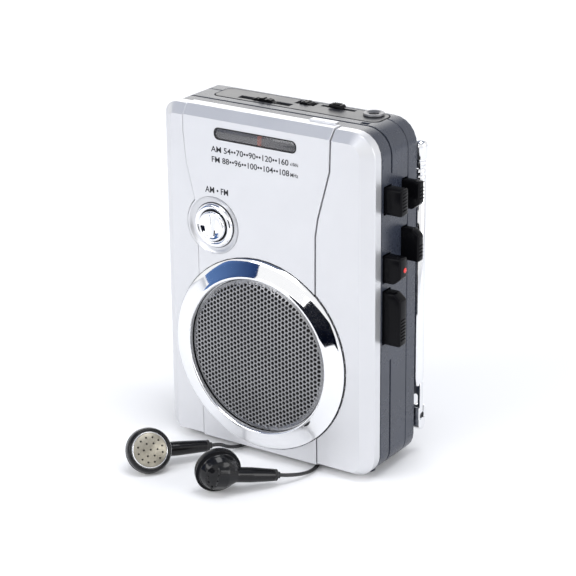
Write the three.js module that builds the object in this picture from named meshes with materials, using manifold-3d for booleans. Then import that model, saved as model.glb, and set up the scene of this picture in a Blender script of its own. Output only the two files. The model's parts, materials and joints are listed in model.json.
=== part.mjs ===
// A pocket radio and cassette player that stands on its bottom end, with a pair of earphones.
// Millimetres, +Z up. X runs across the front, Y runs from the front face to the rear cover.
// The body's own origin is on its bottom face, under the middle of the front face.
import * as THREE from "three";
import { ConvexGeometry } from "three/addons/geometries/ConvexGeometry.js";
import { mergeVertices } from "three/addons/utils/BufferGeometryUtils.js";
import Module from "manifold-3d";

const wasm = await Module();
wasm.setup();

// ---------------------------------------------------------------- driving dimensions

const body_width = 90;
const body_height = 130;
const body_depth = 38;
const foot_height = 1.8;
const clearance = 0.3;
const wall = 1.8;

// seams and steps, measured back from the front face
const front_depth = 7.1;
const housing_depth = 24.9;
const shoulder_depth = 31.2;
const groove_depth = 13.8;
const groove_width = 0.8;
const groove_cut = 0.7;

// front frame
const front_wall = 2.4;
const chamfer_depth = 2.8;
const chamfer_left = 4.1;
const chamfer_right = 4.8;
const chamfer_top = 3.7;
const chamfer_bottom = 1.6;
const corner_left = 5;
const corner_right_top = 9.5;
const corner_right_bottom = 7.5;
const top_step = 0.5;

// raised panel down the middle of the front
const panel_proud = 0.4;
const panel_seat = 1.1;

// speaker
const speaker_x = -2.7;
const speaker_z = 39.6;
const ring_radius = 37;
const ring_proud = 3.2;
const ring_seat = 0.1;
const ring_width = 7.6;
const cone_surround = 3.9;
const magnet_radius = 13;

// dial
const dial_left = -20.8;
const dial_right = 14;
const dial_drop = 8.35;
const dial_height = 3.9;
const pointer_x = -3.4;

// band switch knob
const knob_x = -22.1;
const knob_drop = 43.6;
const dish_radius = 10.9;
const dish_depth = 0.6;
const knob_ring_radius = 8.4;
const knob_radius = 5.6;
const knob_proud = 2.6;
const knob_shaft = 2;

// top controls
const plate_front = 18.1;
const plate_back = 29.3;
const plate_thickness = 1;
const wheel_radius = 13;
const wheel_x = -13.6;
const wheel_y = 21.4;
const wheel_width = 2.4;
const wheel_proud = 1.2;
const volume_radius = 4.5;
const volume_x = 1.2;
const volume_y = 26.6;
const volume_width = 3.6;
const volume_proud = 0.9;
const slider_slot_left = 7.4;
const slider_slot_right = 21.8;
const slider_x = 14;
const slider_y = 27;
const jack_x = 29.9;
const jack_y = 26.3;
const jack_flange = 3.9;
const jack_barrel = 3.2;
const jack_bore = 1.8;

// keys on the right side
const key_reach = 7;
const key_flange = 1.2;

// cassette deck
const cassette_length = 102;
const cassette_height = 64.2;
const well_left_gap = 2.7;
const well_bottom = 18;
const hub_spacing = 42.5;
const hub_from_tape_edge = 35;
const capstan_from_tape_edge = 8.8;
const capstan_from_middle = 26.6;
const deck_y = 20.6;
const deck_thickness = 1;
const capstan_radius = 1.2;
const flywheel_radius = 15;
const flywheel_width = 3;
const roller_radius = 5;
const motor_radius = 12;
const motor_x = 2;
const motor_drop = 35;
const pulley_radius = 3;
const belt_thickness = 0.9;

// power
const cell_radius = 7.1;
const cell_length = 50;
const bay_half_width = 29;
const bay_front = 8.2;
const battery_door_thickness = 1.6;

// telescopic aerial at the rear right corner
const mast_x_from_side = 0.5;
const mast_y = 34.2;
const mast_pivot_z = 15.5;
const mast_foot_z = 29.5;
const mast_top_z = 105.5;
const mast_radius = 2.3;
const mast_wall = 0.35;
const mast_gap = 0.25;
const mast_cap_radius = 2.7;
const mast_cap_top = 120.8;

// earphones
const bud_radius = 8.4;
const lead_diameter = 1.4;
const coil_columns = 3;
const coil_layers = 8;
const coil_inner_turn = 6.85;
const coil_pitch = 1.45;

// ---------------------------------------------------------------- places worked out from them

const right = body_width / 2;
const grille_radius = ring_radius - ring_width;
const cone_radius = grille_radius - cone_surround;
const left = -right;
const top = body_height;
const dark_top = top - top_step;
const well_left = left + well_left_gap;
const tape_edge = well_left + cassette_height;
const well_middle = well_bottom + cassette_length / 2;
const hub_x = tape_edge - hub_from_tape_edge;
const capstan_x = tape_edge - capstan_from_tape_edge;
const capstan_z = well_middle - capstan_from_middle;
const deck_back = deck_y + deck_thickness;
const hump_left = left + 2;
const hump_right = right - 5.7;
const hump_top = top - 4;
const back_wall = 1.6;
const hump_inner_back = body_depth - back_wall;
const low_cell_z = wall + 0.5 + cell_radius;
const rear_cell_y = hump_inner_back - clearance - cell_radius;
const front_cell_y = bay_front + clearance + cell_radius;
const cell_rise = Math.sqrt((2 * cell_radius + clearance) ** 2 - (rear_cell_y - front_cell_y) ** 2);
const front_cell_z = low_cell_z + cell_rise;
const plate_top = dark_top + 0.1;
const plate_floor = plate_top - plate_thickness - clearance;
const top_wall = 2.4;
const mast_x = right - mast_x_from_side;

// ---------------------------------------------------------------- helpers

function solidOf(geometry) {
  const plain = geometry.clone();
  plain.deleteAttribute("normal");
  plain.deleteAttribute("uv");
  const merged = mergeVertices(plain, 1e-4);
  return new wasm.Manifold(new wasm.Mesh({
    numProp: 3,
    vertProperties: new Float32Array(merged.attributes.position.array),
    triVerts: new Uint32Array(merged.index.array),
  }));
}

function geometryOf(solid) {
  const mesh = solid.getMesh();
  const geometry = new THREE.BufferGeometry();
  geometry.setAttribute("position", new THREE.BufferAttribute(mesh.vertProperties, 3));
  geometry.setIndex(new THREE.BufferAttribute(mesh.triVerts, 1));
  geometry.computeVertexNormals();
  return geometry;
}

function block(x0, x1, y0, y1, z0, z1) {
  const geometry = new THREE.BoxGeometry(x1 - x0, y1 - y0, z1 - z0);
  return solidOf(geometry.translate((x0 + x1) / 2, (y0 + y1) / 2, (z0 + z1) / 2));
}

// a cylinder along x, y or z; the other two coordinates are given in the order x, y, z
function rod(axis, radius, a, b, from, to, segments = 20) {
  const geometry = new THREE.CylinderGeometry(radius, radius, to - from, segments);
  const middle = (from + to) / 2;
  if (axis === "x") {
    geometry.rotateZ(-Math.PI / 2).translate(middle, a, b);
  } else if (axis === "y") {
    geometry.translate(a, middle, b);
  } else {
    geometry.rotateX(Math.PI / 2).translate(a, b, middle);
  }
  return solidOf(geometry);
}

// a shape drawn in X and Z, as thick as y0 to y1
function alongY(shape, y0, y1, curveSegments = 3) {
  const geometry = new THREE.ExtrudeGeometry(shape, {
    depth: y1 - y0, bevelEnabled: false, curveSegments, steps: 1,
  });
  return solidOf(geometry.rotateX(Math.PI / 2).translate(0, y1, 0));
}

// a shape drawn in X and Y, as tall as z0 to z1
function alongZ(shape, z0, z1, curveSegments = 3) {
  const geometry = new THREE.ExtrudeGeometry(shape, {
    depth: z1 - z0, bevelEnabled: false, curveSegments, steps: 1,
  });
  return solidOf(geometry.translate(0, 0, z0));
}

// a profile of [radius, along] pairs turned about the Y axis
function turnedY(profile, segments = 24) {
  const points = profile.map(([radius, along]) => new THREE.Vector2(radius, along));
  return solidOf(outward(new THREE.LatheGeometry(points, segments)));
}

// the same profile turned about the Z axis
function turnedZ(profile, segments = 24) {
  const points = profile.map(([radius, along]) => new THREE.Vector2(radius, along));
  return solidOf(outward(new THREE.LatheGeometry(points, segments)).rotateX(Math.PI / 2));
}

// a lathe's faces point inward when its profile runs the other way round
function outward(geometry) {
  const position = geometry.attributes.position;
  const index = geometry.index;
  const a = new THREE.Vector3();
  const b = new THREE.Vector3();
  const c = new THREE.Vector3();
  let volume = 0;
  for (let i = 0; i < index.count; i += 3) {
    a.fromBufferAttribute(position, index.getX(i));
    b.fromBufferAttribute(position, index.getX(i + 1));
    c.fromBufferAttribute(position, index.getX(i + 2));
    volume += a.dot(b.cross(c));
  }
  if (volume < 0) {
    for (let i = 0; i < index.count; i += 3) {
      const second = index.getX(i + 1);
      index.setX(i + 1, index.getX(i + 2));
      index.setX(i + 2, second);
    }
  }
  return geometry;
}

function hull(points) {
  return solidOf(new ConvexGeometry(points));
}

function ringAt(shape, y, divisions = 3) {
  return shape.getPoints(divisions).map((point) => new THREE.Vector3(point.x, y, point.y));
}

// a rounded oblong; radii run lower right, upper right, upper left, lower left
function oblong(x0, x1, z0, z1, radii) {
  const [lowerRight, upperRight, upperLeft, lowerLeft] = radii;
  const quarter = Math.PI / 2;
  const shape = new THREE.Shape();
  shape.absarc(x1 - lowerRight, z0 + lowerRight, lowerRight, -quarter, 0);
  shape.absarc(x1 - upperRight, z1 - upperRight, upperRight, 0, quarter);
  shape.absarc(x0 + upperLeft, z1 - upperLeft, upperLeft, quarter, 2 * quarter);
  shape.absarc(x0 + lowerLeft, z0 + lowerLeft, lowerLeft, 2 * quarter, 3 * quarter);
  shape.closePath();
  return shape;
}

function evenOblong(x0, x1, z0, z1, radius) {
  return oblong(x0, x1, z0, z1, [radius, radius, radius, radius]);
}

function polygon(points) {
  return new THREE.Shape(points.map(([x, y]) => new THREE.Vector2(x, y)));
}

function material(color, roughness, metalness) {
  return new THREE.MeshStandardMaterial({ color, roughness, metalness });
}

const silver = () => material(0xdcdde2, 0.35, 0.6);
const chrome = () => material(0xf0f0f2, 0.08, 1);
const darkPlastic = () => material(0x3a4150, 0.35, 0);
const blackGloss = () => material(0x0c0c0e, 0.15, 0);
const steel = () => material(0xb4b6ba, 0.3, 1);
const brass = () => material(0xc7a24a, 0.3, 1);

const player = new THREE.Group();
player.position.z = foot_height;
const earphones = new THREE.Group();

function add(name, solid, finish, group = player, place = [0, 0, 0]) {
  const mesh = new THREE.Mesh(geometryOf(solid), finish);
  mesh.name = name;
  mesh.position.set(...place);
  group.add(mesh);
  return mesh;
}

// ---------------------------------------------------------------- outlines of the body

// the body's outline, moved in by one amount all round, with its top edge at a height
function bodyOutline(inset, upper = top) {
  const least = 0.8;
  const radii = [corner_right_bottom, corner_right_top, corner_left, corner_left];
  return oblong(
    left + inset, right - inset, inset, upper - inset,
    radii.map((radius) => Math.max(radius - inset, least)),
  );
}

// the flat of the front face, inside the chamfer, grown by one amount
function faceOutline(grow) {
  return oblong(
    left + chamfer_left - grow, right - chamfer_right + grow,
    chamfer_bottom - grow, top - chamfer_top + grow,
    [corner_right_bottom - 4, corner_right_top - 4.7, 1.2, 1.2],
  );
}

// the chamfered front as one full solid: its face at a depth, its sides moved out by an amount
function frontForm(face_y, grow, back_y) {
  const sides = oblong(
    left - grow, right + grow, Math.max(-grow, 0), top + grow,
    [corner_right_bottom, corner_right_top, corner_left, corner_left],
  );
  return hull([
    ...ringAt(faceOutline(grow), face_y),
    ...ringAt(sides, face_y + chamfer_depth),
    ...ringAt(sides, back_y),
  ]);
}

const front_back = front_depth - clearance / 2;
const knob_z = top - knob_drop;
const sound_radius = grille_radius - 1.5;

// the raised panel's two seams, narrow beside the speaker and wide at the top
function panelOutline(grow) {
  return polygon([
    [left + 16.3 - grow, -2],
    [right - 23.2 + grow, -2],
    [right - 23.5 + grow, 69.1],
    [right - 23.3 + grow, top - 40.1],
    [right - 22.2 + grow, top - 33.2],
    [right - 17.2 + grow, top - 15],
    [right - 16.6 + grow, top + 4],
    [left + 10.2 - grow, top + 4],
    [left + 10.1 - grow, top - 9.5],
    [left + 11 - grow, top - 20.4],
    [left + 14.6 - grow, top - 35],
    [left + 15.7 - grow, top - 52.7],
  ]);
}

// the panel widens round the knob's dish, and again under the speaker ring, which hides it
function panelColumn(grow, y0, y1) {
  const bulge = rod("y", dish_radius + 0.8 + grow, knob_x, knob_z, y0, y1, 32);
  const speaker_round = rod("y", ring_radius - 1.6 + grow, speaker_x, speaker_z, y0, y1, 40);
  return alongY(panelOutline(grow), y0, y1).add(bulge).add(speaker_round);
}

function dialSlot(grow, y0, y1) {
  const half = dial_height / 2 + grow;
  const middle = top - dial_drop;
  return alongY(
    evenOblong(dial_left - grow, dial_right + grow, middle - half, middle + half, half - 0.2), y0, y1,
  );
}

// ---------------------------------------------------------------- front

function frontFrame() {
  const cavity = alongY(bodyOutline(front_wall), front_wall, front_depth + 1);
  const seat_core = frontForm(panel_seat, -0.8, front_depth + 2);
  const panel_pocket = panelColumn(clearance, -3, front_depth + 1).subtract(seat_core);
  const ring_pocket = rod("y", ring_radius + clearance, speaker_x, speaker_z, -3, ring_seat, 48);
  const sound_hole = rod("y", sound_radius, speaker_x, speaker_z, -3, front_depth, 36);
  const shaft_hole = rod("y", knob_shaft + 0.4, knob_x, knob_z, -3, front_depth);
  return frontForm(0, 0, front_back)
    .subtract(cavity)
    .subtract(panel_pocket)
    .subtract(ring_pocket)
    .subtract(sound_hole)
    .subtract(shaft_hole)
    .subtract(dialSlot(0.3, -3, front_depth));
}

function centrePanel() {
  const lip_left = right - 29.2;
  const lip_right = right - 18.5;
  const lip_back = 8.7;
  const core = frontForm(panel_seat - clearance, -0.5, front_depth + 2);
  const skin = frontForm(-panel_proud, panel_proud, front_back).intersect(
    panelColumn(0, -3, front_depth + 1),
  );
  const lip = block(lip_left, lip_right, front_back - 1, lip_back, top + 0.1, top + 1);
  const ring_pocket = rod("y", ring_radius + clearance, speaker_x, speaker_z, -3, ring_seat, 48);
  const sound_hole = rod("y", sound_radius, speaker_x, speaker_z, -3, front_depth, 36);
  const dish = rod("y", dish_radius, knob_x, knob_z, -3, dish_depth - panel_proud, 32);
  const shaft_hole = rod("y", knob_shaft + 0.4, knob_x, knob_z, -3, front_depth);
  return skin
    .subtract(core)
    .add(lip)
    .subtract(ring_pocket)
    .subtract(sound_hole)
    .subtract(dish)
    .subtract(shaft_hole)
    .subtract(dialSlot(0.3, -3, front_depth));
}

add("front_frame", frontFrame(), silver());
add("centre_panel", centrePanel(), silver());

const ring_back = ring_seat - clearance;
const ring_bore = grille_radius + clearance;
add("speaker_ring", turnedY([
  [ring_bore, ring_back],
  [ring_radius, ring_back],
  [ring_radius, -0.6],
  [ring_radius - 0.8, -1.1],
  [ring_radius - 3.5, -2.2],
  [ring_bore + 1.6, -ring_proud + 0.2],
  [ring_bore + 0.7, -ring_proud],
  [ring_bore, -ring_proud + 0.5],
  [ring_bore, ring_back],
], 40), chrome(), player, [speaker_x, 0, speaker_z]);

const grille_face = -ring_proud + 0.6;
add("speaker_grille", turnedY([
  [0, grille_face],
  [grille_radius - 2, grille_face],
  [grille_radius - 0.5, grille_face + 0.6],
  [grille_radius, grille_face + 1.6],
  [grille_radius, ring_back],
  [grille_radius - 0.8, ring_back],
  [grille_radius - 0.8, grille_face + 1.8],
  [grille_radius - 2.2, grille_face + 0.7],
  [0, grille_face + 0.7],
], 36), steel(), player, [speaker_x, 0, speaker_z]);

add("dial_window", dialSlot(0, 0.2, 1.6), material(0x55555c, 0.2, 0));

const dish_floor = dish_depth - panel_proud;
add("band_knob_ring", turnedY([
  [knob_radius + 0.5, dish_floor - clearance],
  [knob_ring_radius, dish_floor - clearance],
  [knob_ring_radius, dish_floor - 0.8],
  [knob_ring_radius - 1, dish_floor - 1.5],
  [knob_radius + 0.8, dish_floor - 1.1],
  [knob_radius + 0.5, dish_floor - clearance],
], 32), chrome(), player, [knob_x, 0, knob_z]);

const knob_face = -knob_proud;
const knob_cap = turnedY([
  [0, knob_face + 0.5],
  [knob_radius - 1.6, knob_face + 0.6],
  [knob_radius - 0.4, knob_face + 1],
  [knob_radius, knob_face + 1.6],
  [knob_radius, dish_floor - clearance],
  [knob_shaft, dish_floor - clearance],
  [knob_shaft, front_wall + 1],
  [0, front_wall + 1],
], 24);
const knob_grip = block(-0.9, 0.9, knob_face - 0.6, knob_face + 1.4, -knob_radius + 1, knob_radius - 1);
add("band_knob", knob_cap.add(knob_grip), chrome(), player, [knob_x, 0, knob_z]);

// ---------------------------------------------------------------- keys

// y0, y1: front and rear of a key; z0, z1: its lower and upper end; slants in millimetres
const key_list = [
  { name: "key_stop_eject", y0: 8.8, y1: 13.7, z0: 99.8, z1: 109.6, low: 0, high: 0 },
  { name: "key_fast_forward", y0: 20.9, y1: 24.6, z0: 98.9, z1: 109.5, low: 3, high: 0 },
  { name: "key_rewind", y0: 20.9, y1: 24.6, z0: 79.5, z1: 91.5, low: 0, high: 2.5 },
  { name: "key_record", y0: 8.3, y1: 13.3, z0: 74.4, z1: 84.4, low: 3, high: 0 },
  { name: "key_play", y0: 8.3, y1: 13.3, z0: 51, z1: 71, low: 0, high: 3 },
];

function keySlot(key) {
  const grow = clearance;
  const reach_in = right - wall - 0.5;
  return block(reach_in, right + 1, key.y0 - grow, key.y1 + grow, key.z0 - grow, key.z1 + grow);
}

function keySolid(key) {
  const inner = right - wall - clearance - key_flange - 2;
  const outer = right + key_reach;
  const flange_out = right - wall - clearance;
  const profile = polygon([
    [inner, key.z0],
    [outer - key.low, key.z0],
    [outer, key.z0 + key.low * 0.6 + 0.6],
    [outer, key.z1 - key.high * 0.6 - 0.6],
    [outer - key.high - 0.6, key.z1],
    [inner, key.z1],
  ]);
  const flange = block(
    flange_out - key_flange,
    flange_out,
    key.y0 - 1,
    Math.min(key.y1 + 1, housing_depth),
    key.z0 - 1,
    key.z1 + 1,
  );
  return alongY(profile, key.y0, key.y1).add(flange);
}

// ---------------------------------------------------------------- housing

const plate_shape = evenOblong(left + 10.2, right - 9.2, plate_front, plate_back, 3);

function topOpenings(low, volume_half) {
  const high = top + 3;
  const wheel_slot = block(
    wheel_x - 11.2, wheel_x + 11.4, wheel_y - wheel_width / 2 - clearance,
    wheel_y + wheel_width / 2 + clearance, low, high,
  );
  const volume_slot = block(
    volume_x - volume_half, volume_x + volume_half, volume_y - volume_width / 2 - clearance,
    volume_y + volume_width / 2 + clearance, low, high,
  );
  const slider_slot = block(slider_slot_left, slider_slot_right, slider_y - 0.9, slider_y + 0.9, low, high);
  const jack_hole = rod("z", jack_barrel + clearance, jack_x, jack_y, low, high);
  return wheel_slot.add(volume_slot).add(slider_slot).add(jack_hole);
}

function grownPlate() {
  return alongZ(
    evenOblong(
      left + 10.2 - clearance, right - 9.2 + clearance,
      plate_front - clearance, plate_back + clearance, 3,
    ),
    plate_floor, top + 3,
  );
}

// the band that a groove follows round the outside of the housing
function grooveBand(x0, x1, z0, z1) {
  const y0 = groove_depth - groove_width / 2;
  const y1 = groove_depth + groove_width / 2;
  const core = alongY(bodyOutline(groove_cut, dark_top), y0 - 1, y1 + 1);
  return block(x0, x1, y0, y1, z0, z1).subtract(core);
}

const door_opening = bay_half_width + clearance;
const bay_cut = block(-door_opening, door_opening, bay_front, body_depth + 1, -1, wall + 0.1);
const bay_rails = block(-door_opening - 1.2, door_opening + 1.2, bay_front, body_depth + 1, 0.6, wall + 0.1);

const foot_x = right - 8;
function foot(x, y) {
  const foot_radius = 2.6;
  return rod("z", foot_radius, x, y, -foot_height, 0.4, 16);
}

function mainHousing() {
  const y0 = front_depth + clearance / 2;
  const y1 = housing_depth - clearance / 2;
  const inside = oblong(
    left + wall, right - wall, wall, dark_top - top_wall,
    [corner_right_bottom - wall, corner_right_top - wall, corner_left - wall, corner_left - wall],
  );
  const mic_slot = block(right - 13.9, right - 10.7, 15, 16.7, top - 6, top + 2);
  let shell = alongY(bodyOutline(0, dark_top), y0, y1).subtract(alongY(inside, y0 - 1, y1 + 1));
  shell = shell.add(foot(-foot_x, 12)).add(foot(foot_x, 12));
  for (const key of key_list) {
    shell = shell.subtract(keySlot(key));
  }
  return shell
    .subtract(grooveBand(left - 1, right + 1, top - 16.3, top + 1))
    .subtract(grooveBand(0, right + 1, -1, 43.2))
    .subtract(grownPlate())
    .subtract(topOpenings(top - 6, volume_radius + 0.4))
    .subtract(mic_slot)
    .subtract(bay_cut)
    .subtract(bay_rails);
}

add("main_housing", mainHousing(), darkPlastic());

const door_left = hump_left + 1.3;
const door_right = tape_edge + 2.5;
const door_low = well_bottom - 0.8;
const door_high = well_bottom + cassette_length + 1.5;
const hinge_x = door_left + 1.7;
const hinge_y = body_depth - 1.5;
const hinge_radius = 1.4;
const pin_radius = 0.7;

function rearCover() {
  const y0 = housing_depth + clearance / 2;
  const hump_edge = 1.5;
  const hump = hull([
    ...ringAt(evenOblong(hump_left, hump_right, 0, hump_top, 3.5), shoulder_depth - 1),
    ...ringAt(evenOblong(hump_left, hump_right, 0, hump_top, 3.5), body_depth - hump_edge),
    ...ringAt(
      evenOblong(hump_left + 0.9, hump_right - 0.9, 0.9, hump_top - 0.9, 2.6), body_depth,
    ),
  ]);
  const inside = oblong(
    left + wall, right - wall, wall, dark_top - top_wall,
    [corner_right_bottom - wall, corner_right_top - wall, corner_left - wall, corner_left - wall],
  );
  const room = alongY(inside, y0 - 1, shoulder_depth - back_wall);
  const hump_room = alongY(
    evenOblong(hump_left + back_wall, hump_right - back_wall, wall, hump_top - back_wall, 2),
    y0 - 1, hump_inner_back,
  );
  const door_hole = block(
    door_left, door_right + clearance, hump_inner_back - 1, body_depth + 1,
    door_low - clearance, door_high + clearance,
  );
  const lug_high = block(
    hinge_x - 1.2, hinge_x + 2, hinge_y - 1.9, hinge_y + 0.4, door_high + clearance, door_high + 2.3,
  );
  const lug_low = block(
    hinge_x - 1.2, hinge_x + 2, hinge_y - 1.9, hinge_y + 0.4, door_low - 2.3, door_low - clearance,
  );
  const pin_holes = rod("z", pin_radius + clearance, hinge_x, hinge_y, door_low - 1.8, door_high + 1.8, 12);
  const mast_arm = block(hump_right - 1, mast_x - 4.6, mast_y - 1.9, mast_y + 1.9, 8.9, 12.7);
  const arm_hole = rod("x", 1.5, mast_y, 10.8, mast_x - 7, mast_x - 4, 16);
  const shell = alongY(bodyOutline(0, dark_top), y0, shoulder_depth).add(hump);
  let cover = shell
    .subtract(room)
    .subtract(hump_room)
    .add(foot(-foot_x + 1, 33))
    .add(foot(foot_x - 5, 33))
    .subtract(door_hole)
    .add(lug_high)
    .add(lug_low)
    .subtract(pin_holes)
    .add(mast_arm)
    .subtract(arm_hole)
    .subtract(grownPlate())
    .subtract(topOpenings(top - 6, volume_radius + 0.4))
    .subtract(bay_cut)
    .subtract(bay_rails);
  for (const key of key_list) {
    cover = cover.subtract(keySlot(key));
  }
  return cover;
}

add("rear_cover", rearCover(), darkPlastic());

const plate_solid = alongZ(plate_shape, plate_top - plate_thickness, plate_top);
add("top_plate", plate_solid.subtract(topOpenings(top - 6, volume_radius - 0.4)), darkPlastic());

for (const key of key_list) {
  add(key.name, keySolid(key), blackGloss());
}

// ---------------------------------------------------------------- doors

const leaf_front = hinge_y - 0.2;
const door_leaf = block(hinge_x, door_right, leaf_front, body_depth, door_low, door_high);
const door_barrel = rod("z", hinge_radius, hinge_x, hinge_y, door_low, door_high, 16);
const door_pins = rod("z", pin_radius, hinge_x, hinge_y, door_low - 1.5, door_high + 1.5, 12);
const window_half_width = 20;
const window_low = well_middle - 27;
const window_high = well_middle + 27;
const window_rim = block(
  hub_x - window_half_width, hub_x + window_half_width, leaf_front - 1, leaf_front + 1,
  window_low, window_high,
);
const window_hole = block(
  hub_x - window_half_width + 1.5, hub_x + window_half_width - 1.5, leaf_front - 1, body_depth + 1,
  window_low + 1.5, window_high - 1.5,
);
const door_grip = block(door_right - 4, door_right - 2.5, body_depth - 0.6, body_depth + 1, 62, 78);
const cassette_door = door_leaf
  .add(door_barrel)
  .add(door_pins)
  .subtract(window_rim)
  .subtract(window_hole)
  .subtract(door_grip);
add("cassette_door", cassette_door, darkPlastic());
add("door_window", block(
  hub_x - window_half_width + clearance, hub_x + window_half_width - clearance,
  leaf_front, leaf_front + 0.7, window_low + clearance, window_high - clearance,
), material(0x2a2d33, 0.1, 0));

const battery_lid = block(
  -bay_half_width, bay_half_width, bay_front + clearance, body_depth, 0, battery_door_thickness,
);
const lid_rails = block(
  -bay_half_width - 1.1, bay_half_width + 1.1, bay_front + clearance, body_depth - 2, 0.9,
  battery_door_thickness,
);
let battery_door = battery_lid.add(lid_rails);
for (let i = 0; i < 4; i += 1) {
  const ridge_y = body_depth - 9 + 1.8 * i;
  battery_door = battery_door.subtract(block(-8, 8, ridge_y, ridge_y + 0.8, -1, 0.4));
}
add("battery_door", battery_door, darkPlastic());

// ---------------------------------------------------------------- top controls

const wheel_z = plate_top + wheel_proud - wheel_radius;
const grip_teeth = 24;
function toothedDisc(radius, tooth, teeth, y0, y1) {
  const points = [];
  for (let i = 0; i < teeth; i += 1) {
    for (const [share, depth] of [[0, 0], [0.5, 0], [0.62, tooth], [0.88, tooth]]) {
      const angle = 2 * Math.PI * (i + share) / teeth;
      points.push([(radius - depth) * Math.cos(angle), (radius - depth) * Math.sin(angle)]);
    }
  }
  return alongY(polygon(points), y0, y1);
}
const wheel_hub = rod("y", 2.5, 0, 0, -wheel_width / 2 - 0.9, 0, 16);
const wheel_disc = toothedDisc(wheel_radius, 0.4, grip_teeth, -wheel_width / 2, wheel_width / 2);
add("tuning_wheel", wheel_disc.add(wheel_hub), darkPlastic(), player, [wheel_x, wheel_y, wheel_z]);

const volume_z = plate_top + volume_proud - volume_radius;
add("volume_wheel", toothedDisc(volume_radius, 0.3, 14, -volume_width / 2, volume_width / 2),
  blackGloss(), player, [volume_x, volume_y, volume_z]);

const slider_cap = hull([
  ...[[-3, -1.7], [3, -1.7], [3, 1.7], [-3, 1.7]].flatMap(([x, y]) => [
    new THREE.Vector3(slider_x + x, slider_y + y, plate_top + clearance),
    new THREE.Vector3(slider_x + x * 0.86, slider_y + y * 0.8, plate_top + 1.5),
  ]),
]);
const slider_low = plate_top - 6;
const slider_stem = block(
  slider_x - 1,
  slider_x + 1,
  slider_y - 0.6,
  slider_y + 0.6,
  slider_low,
  plate_top + 0.8,
);
const slider_foot = block(
  slider_x - 2.6,
  slider_x + 2.6,
  slider_y - 2.2,
  slider_y + 2.2,
  slider_low,
  slider_low + 1.6,
);
add("function_slider", slider_cap.add(slider_stem).add(slider_foot), blackGloss());

const jack_base = plate_top - 16;
add("phones_jack", turnedZ([
  [0, jack_base],
  [jack_barrel, jack_base],
  [jack_barrel, plate_top + clearance],
  [jack_flange, plate_top + clearance],
  [jack_flange - 0.4, plate_top + clearance + 0.6],
  [jack_bore + 0.3, plate_top + clearance + 0.6],
  [jack_bore, plate_top + clearance + 0.3],
  [jack_bore, jack_base + 1.5],
  [0, jack_base + 1.5],
], 20), material(0x6a6a6e, 0.3, 0.5), player, [jack_x, jack_y, 0]);

add("microphone", rod("z", 2.4, right - 12.3, 15.9, top - 7.5, dark_top - top_wall - clearance, 16), steel());

// ---------------------------------------------------------------- radio

const board_front = front_wall + 1.7;
const board_back = board_front + 1.6;
const board_low = 76;
const board_shape = block(left + 7, right - 7, board_front, board_back, board_low, top - 4.4);
add("radio_board", board_shape, material(0x2f6b3c, 0.5, 0));

const capacitor_back = wheel_y - wheel_width / 2 - 0.9 - clearance;
add("tuning_capacitor", block(-8, 8, board_back + clearance, capacitor_back, -8, 8),
  material(0xcfcfc4, 0.4, 0), player, [wheel_x, 0, wheel_z]);

const pointer_front = front_wall + clearance;
const pointer_z = top - dial_drop;
const pointer_bar = block(-0.6, 0.6, pointer_front, pointer_front + 0.7, -4.2, 2.6);
const pointer_foot = block(-3, 3, pointer_front, pointer_front + 0.7, -5.8, -4.1);
add("dial_pointer", pointer_bar.add(pointer_foot), material(0xd8452a, 0.4, 0), player,
  [pointer_x, 0, pointer_z]);

const ferrite_radius = 3.6;
add("ferrite_rod", rod("x", ferrite_radius, board_back + 0.8 + ferrite_radius, board_low, left + 12, 14, 16),
  material(0x2b2b2d, 0.6, 0));

// ---------------------------------------------------------------- speaker

const cone_front = front_wall + clearance;
const basket = turnedY([
  [grille_radius - 0.9, cone_front],
  [grille_radius - 0.9, cone_front + 1.4],
  [cone_radius + 1, cone_front + 2],
  [magnet_radius + 2.6, cone_front + 6.6],
  [magnet_radius - 4, cone_front + 6.6],
  [magnet_radius - 4, cone_front + 5.8],
  [magnet_radius + 2, cone_front + 5.8],
  [cone_radius + 0.2, cone_front + 1],
  [cone_radius + 0.2, cone_front],
  [grille_radius - 0.9, cone_front],
], 24);
const cell_notch = rod("x", cell_radius + clearance, front_cell_y, front_cell_z - speaker_z,
  left - speaker_x, right - speaker_x, 24);
add("speaker_basket", basket.subtract(cell_notch), steel(), player, [speaker_x, 0, speaker_z]);
add("speaker_cone", turnedY([
  [0, cone_front + 3.2],
  [5, cone_front + 4.2],
  [8, cone_front + 4.6],
  [cone_radius - 2.5, cone_front + 0.7],
  [cone_radius - 0.1, cone_front + 0.1],
  [cone_radius - 0.1, cone_front + 0.6],
  [cone_radius - 2.5, cone_front + 1.3],
  [8, cone_front + 5.2],
  [5, cone_front + 4.8],
  [0, cone_front + 3.8],
], 24), material(0x1d1d1f, 0.8, 0), player, [speaker_x, 0, speaker_z]);
const magnet_front = cone_front + 6.6 + clearance;
const flywheel_front = magnet_front + 4.4;
add("speaker_magnet", turnedY([
  [0, magnet_front],
  [magnet_radius, magnet_front],
  [magnet_radius, flywheel_front - 1],
  [magnet_radius - 0.8, flywheel_front - 0.4],
  [0, flywheel_front - 0.4],
], 28), steel(), player, [speaker_x, 0, speaker_z]);

// ---------------------------------------------------------------- cassette deck

const flywheel_back = flywheel_front + flywheel_width;
const spindle_end = 33;
const carriage_y = deck_back + clearance;
const carriage_back = carriage_y + 1;
const carriage_left = tape_edge + 1.2;
const carriage_right = right - 10.6;
const roller_x = capstan_x + capstan_radius + roller_radius + 3.2;
const hubs = [well_middle - hub_spacing / 2, well_middle + hub_spacing / 2];

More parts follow.
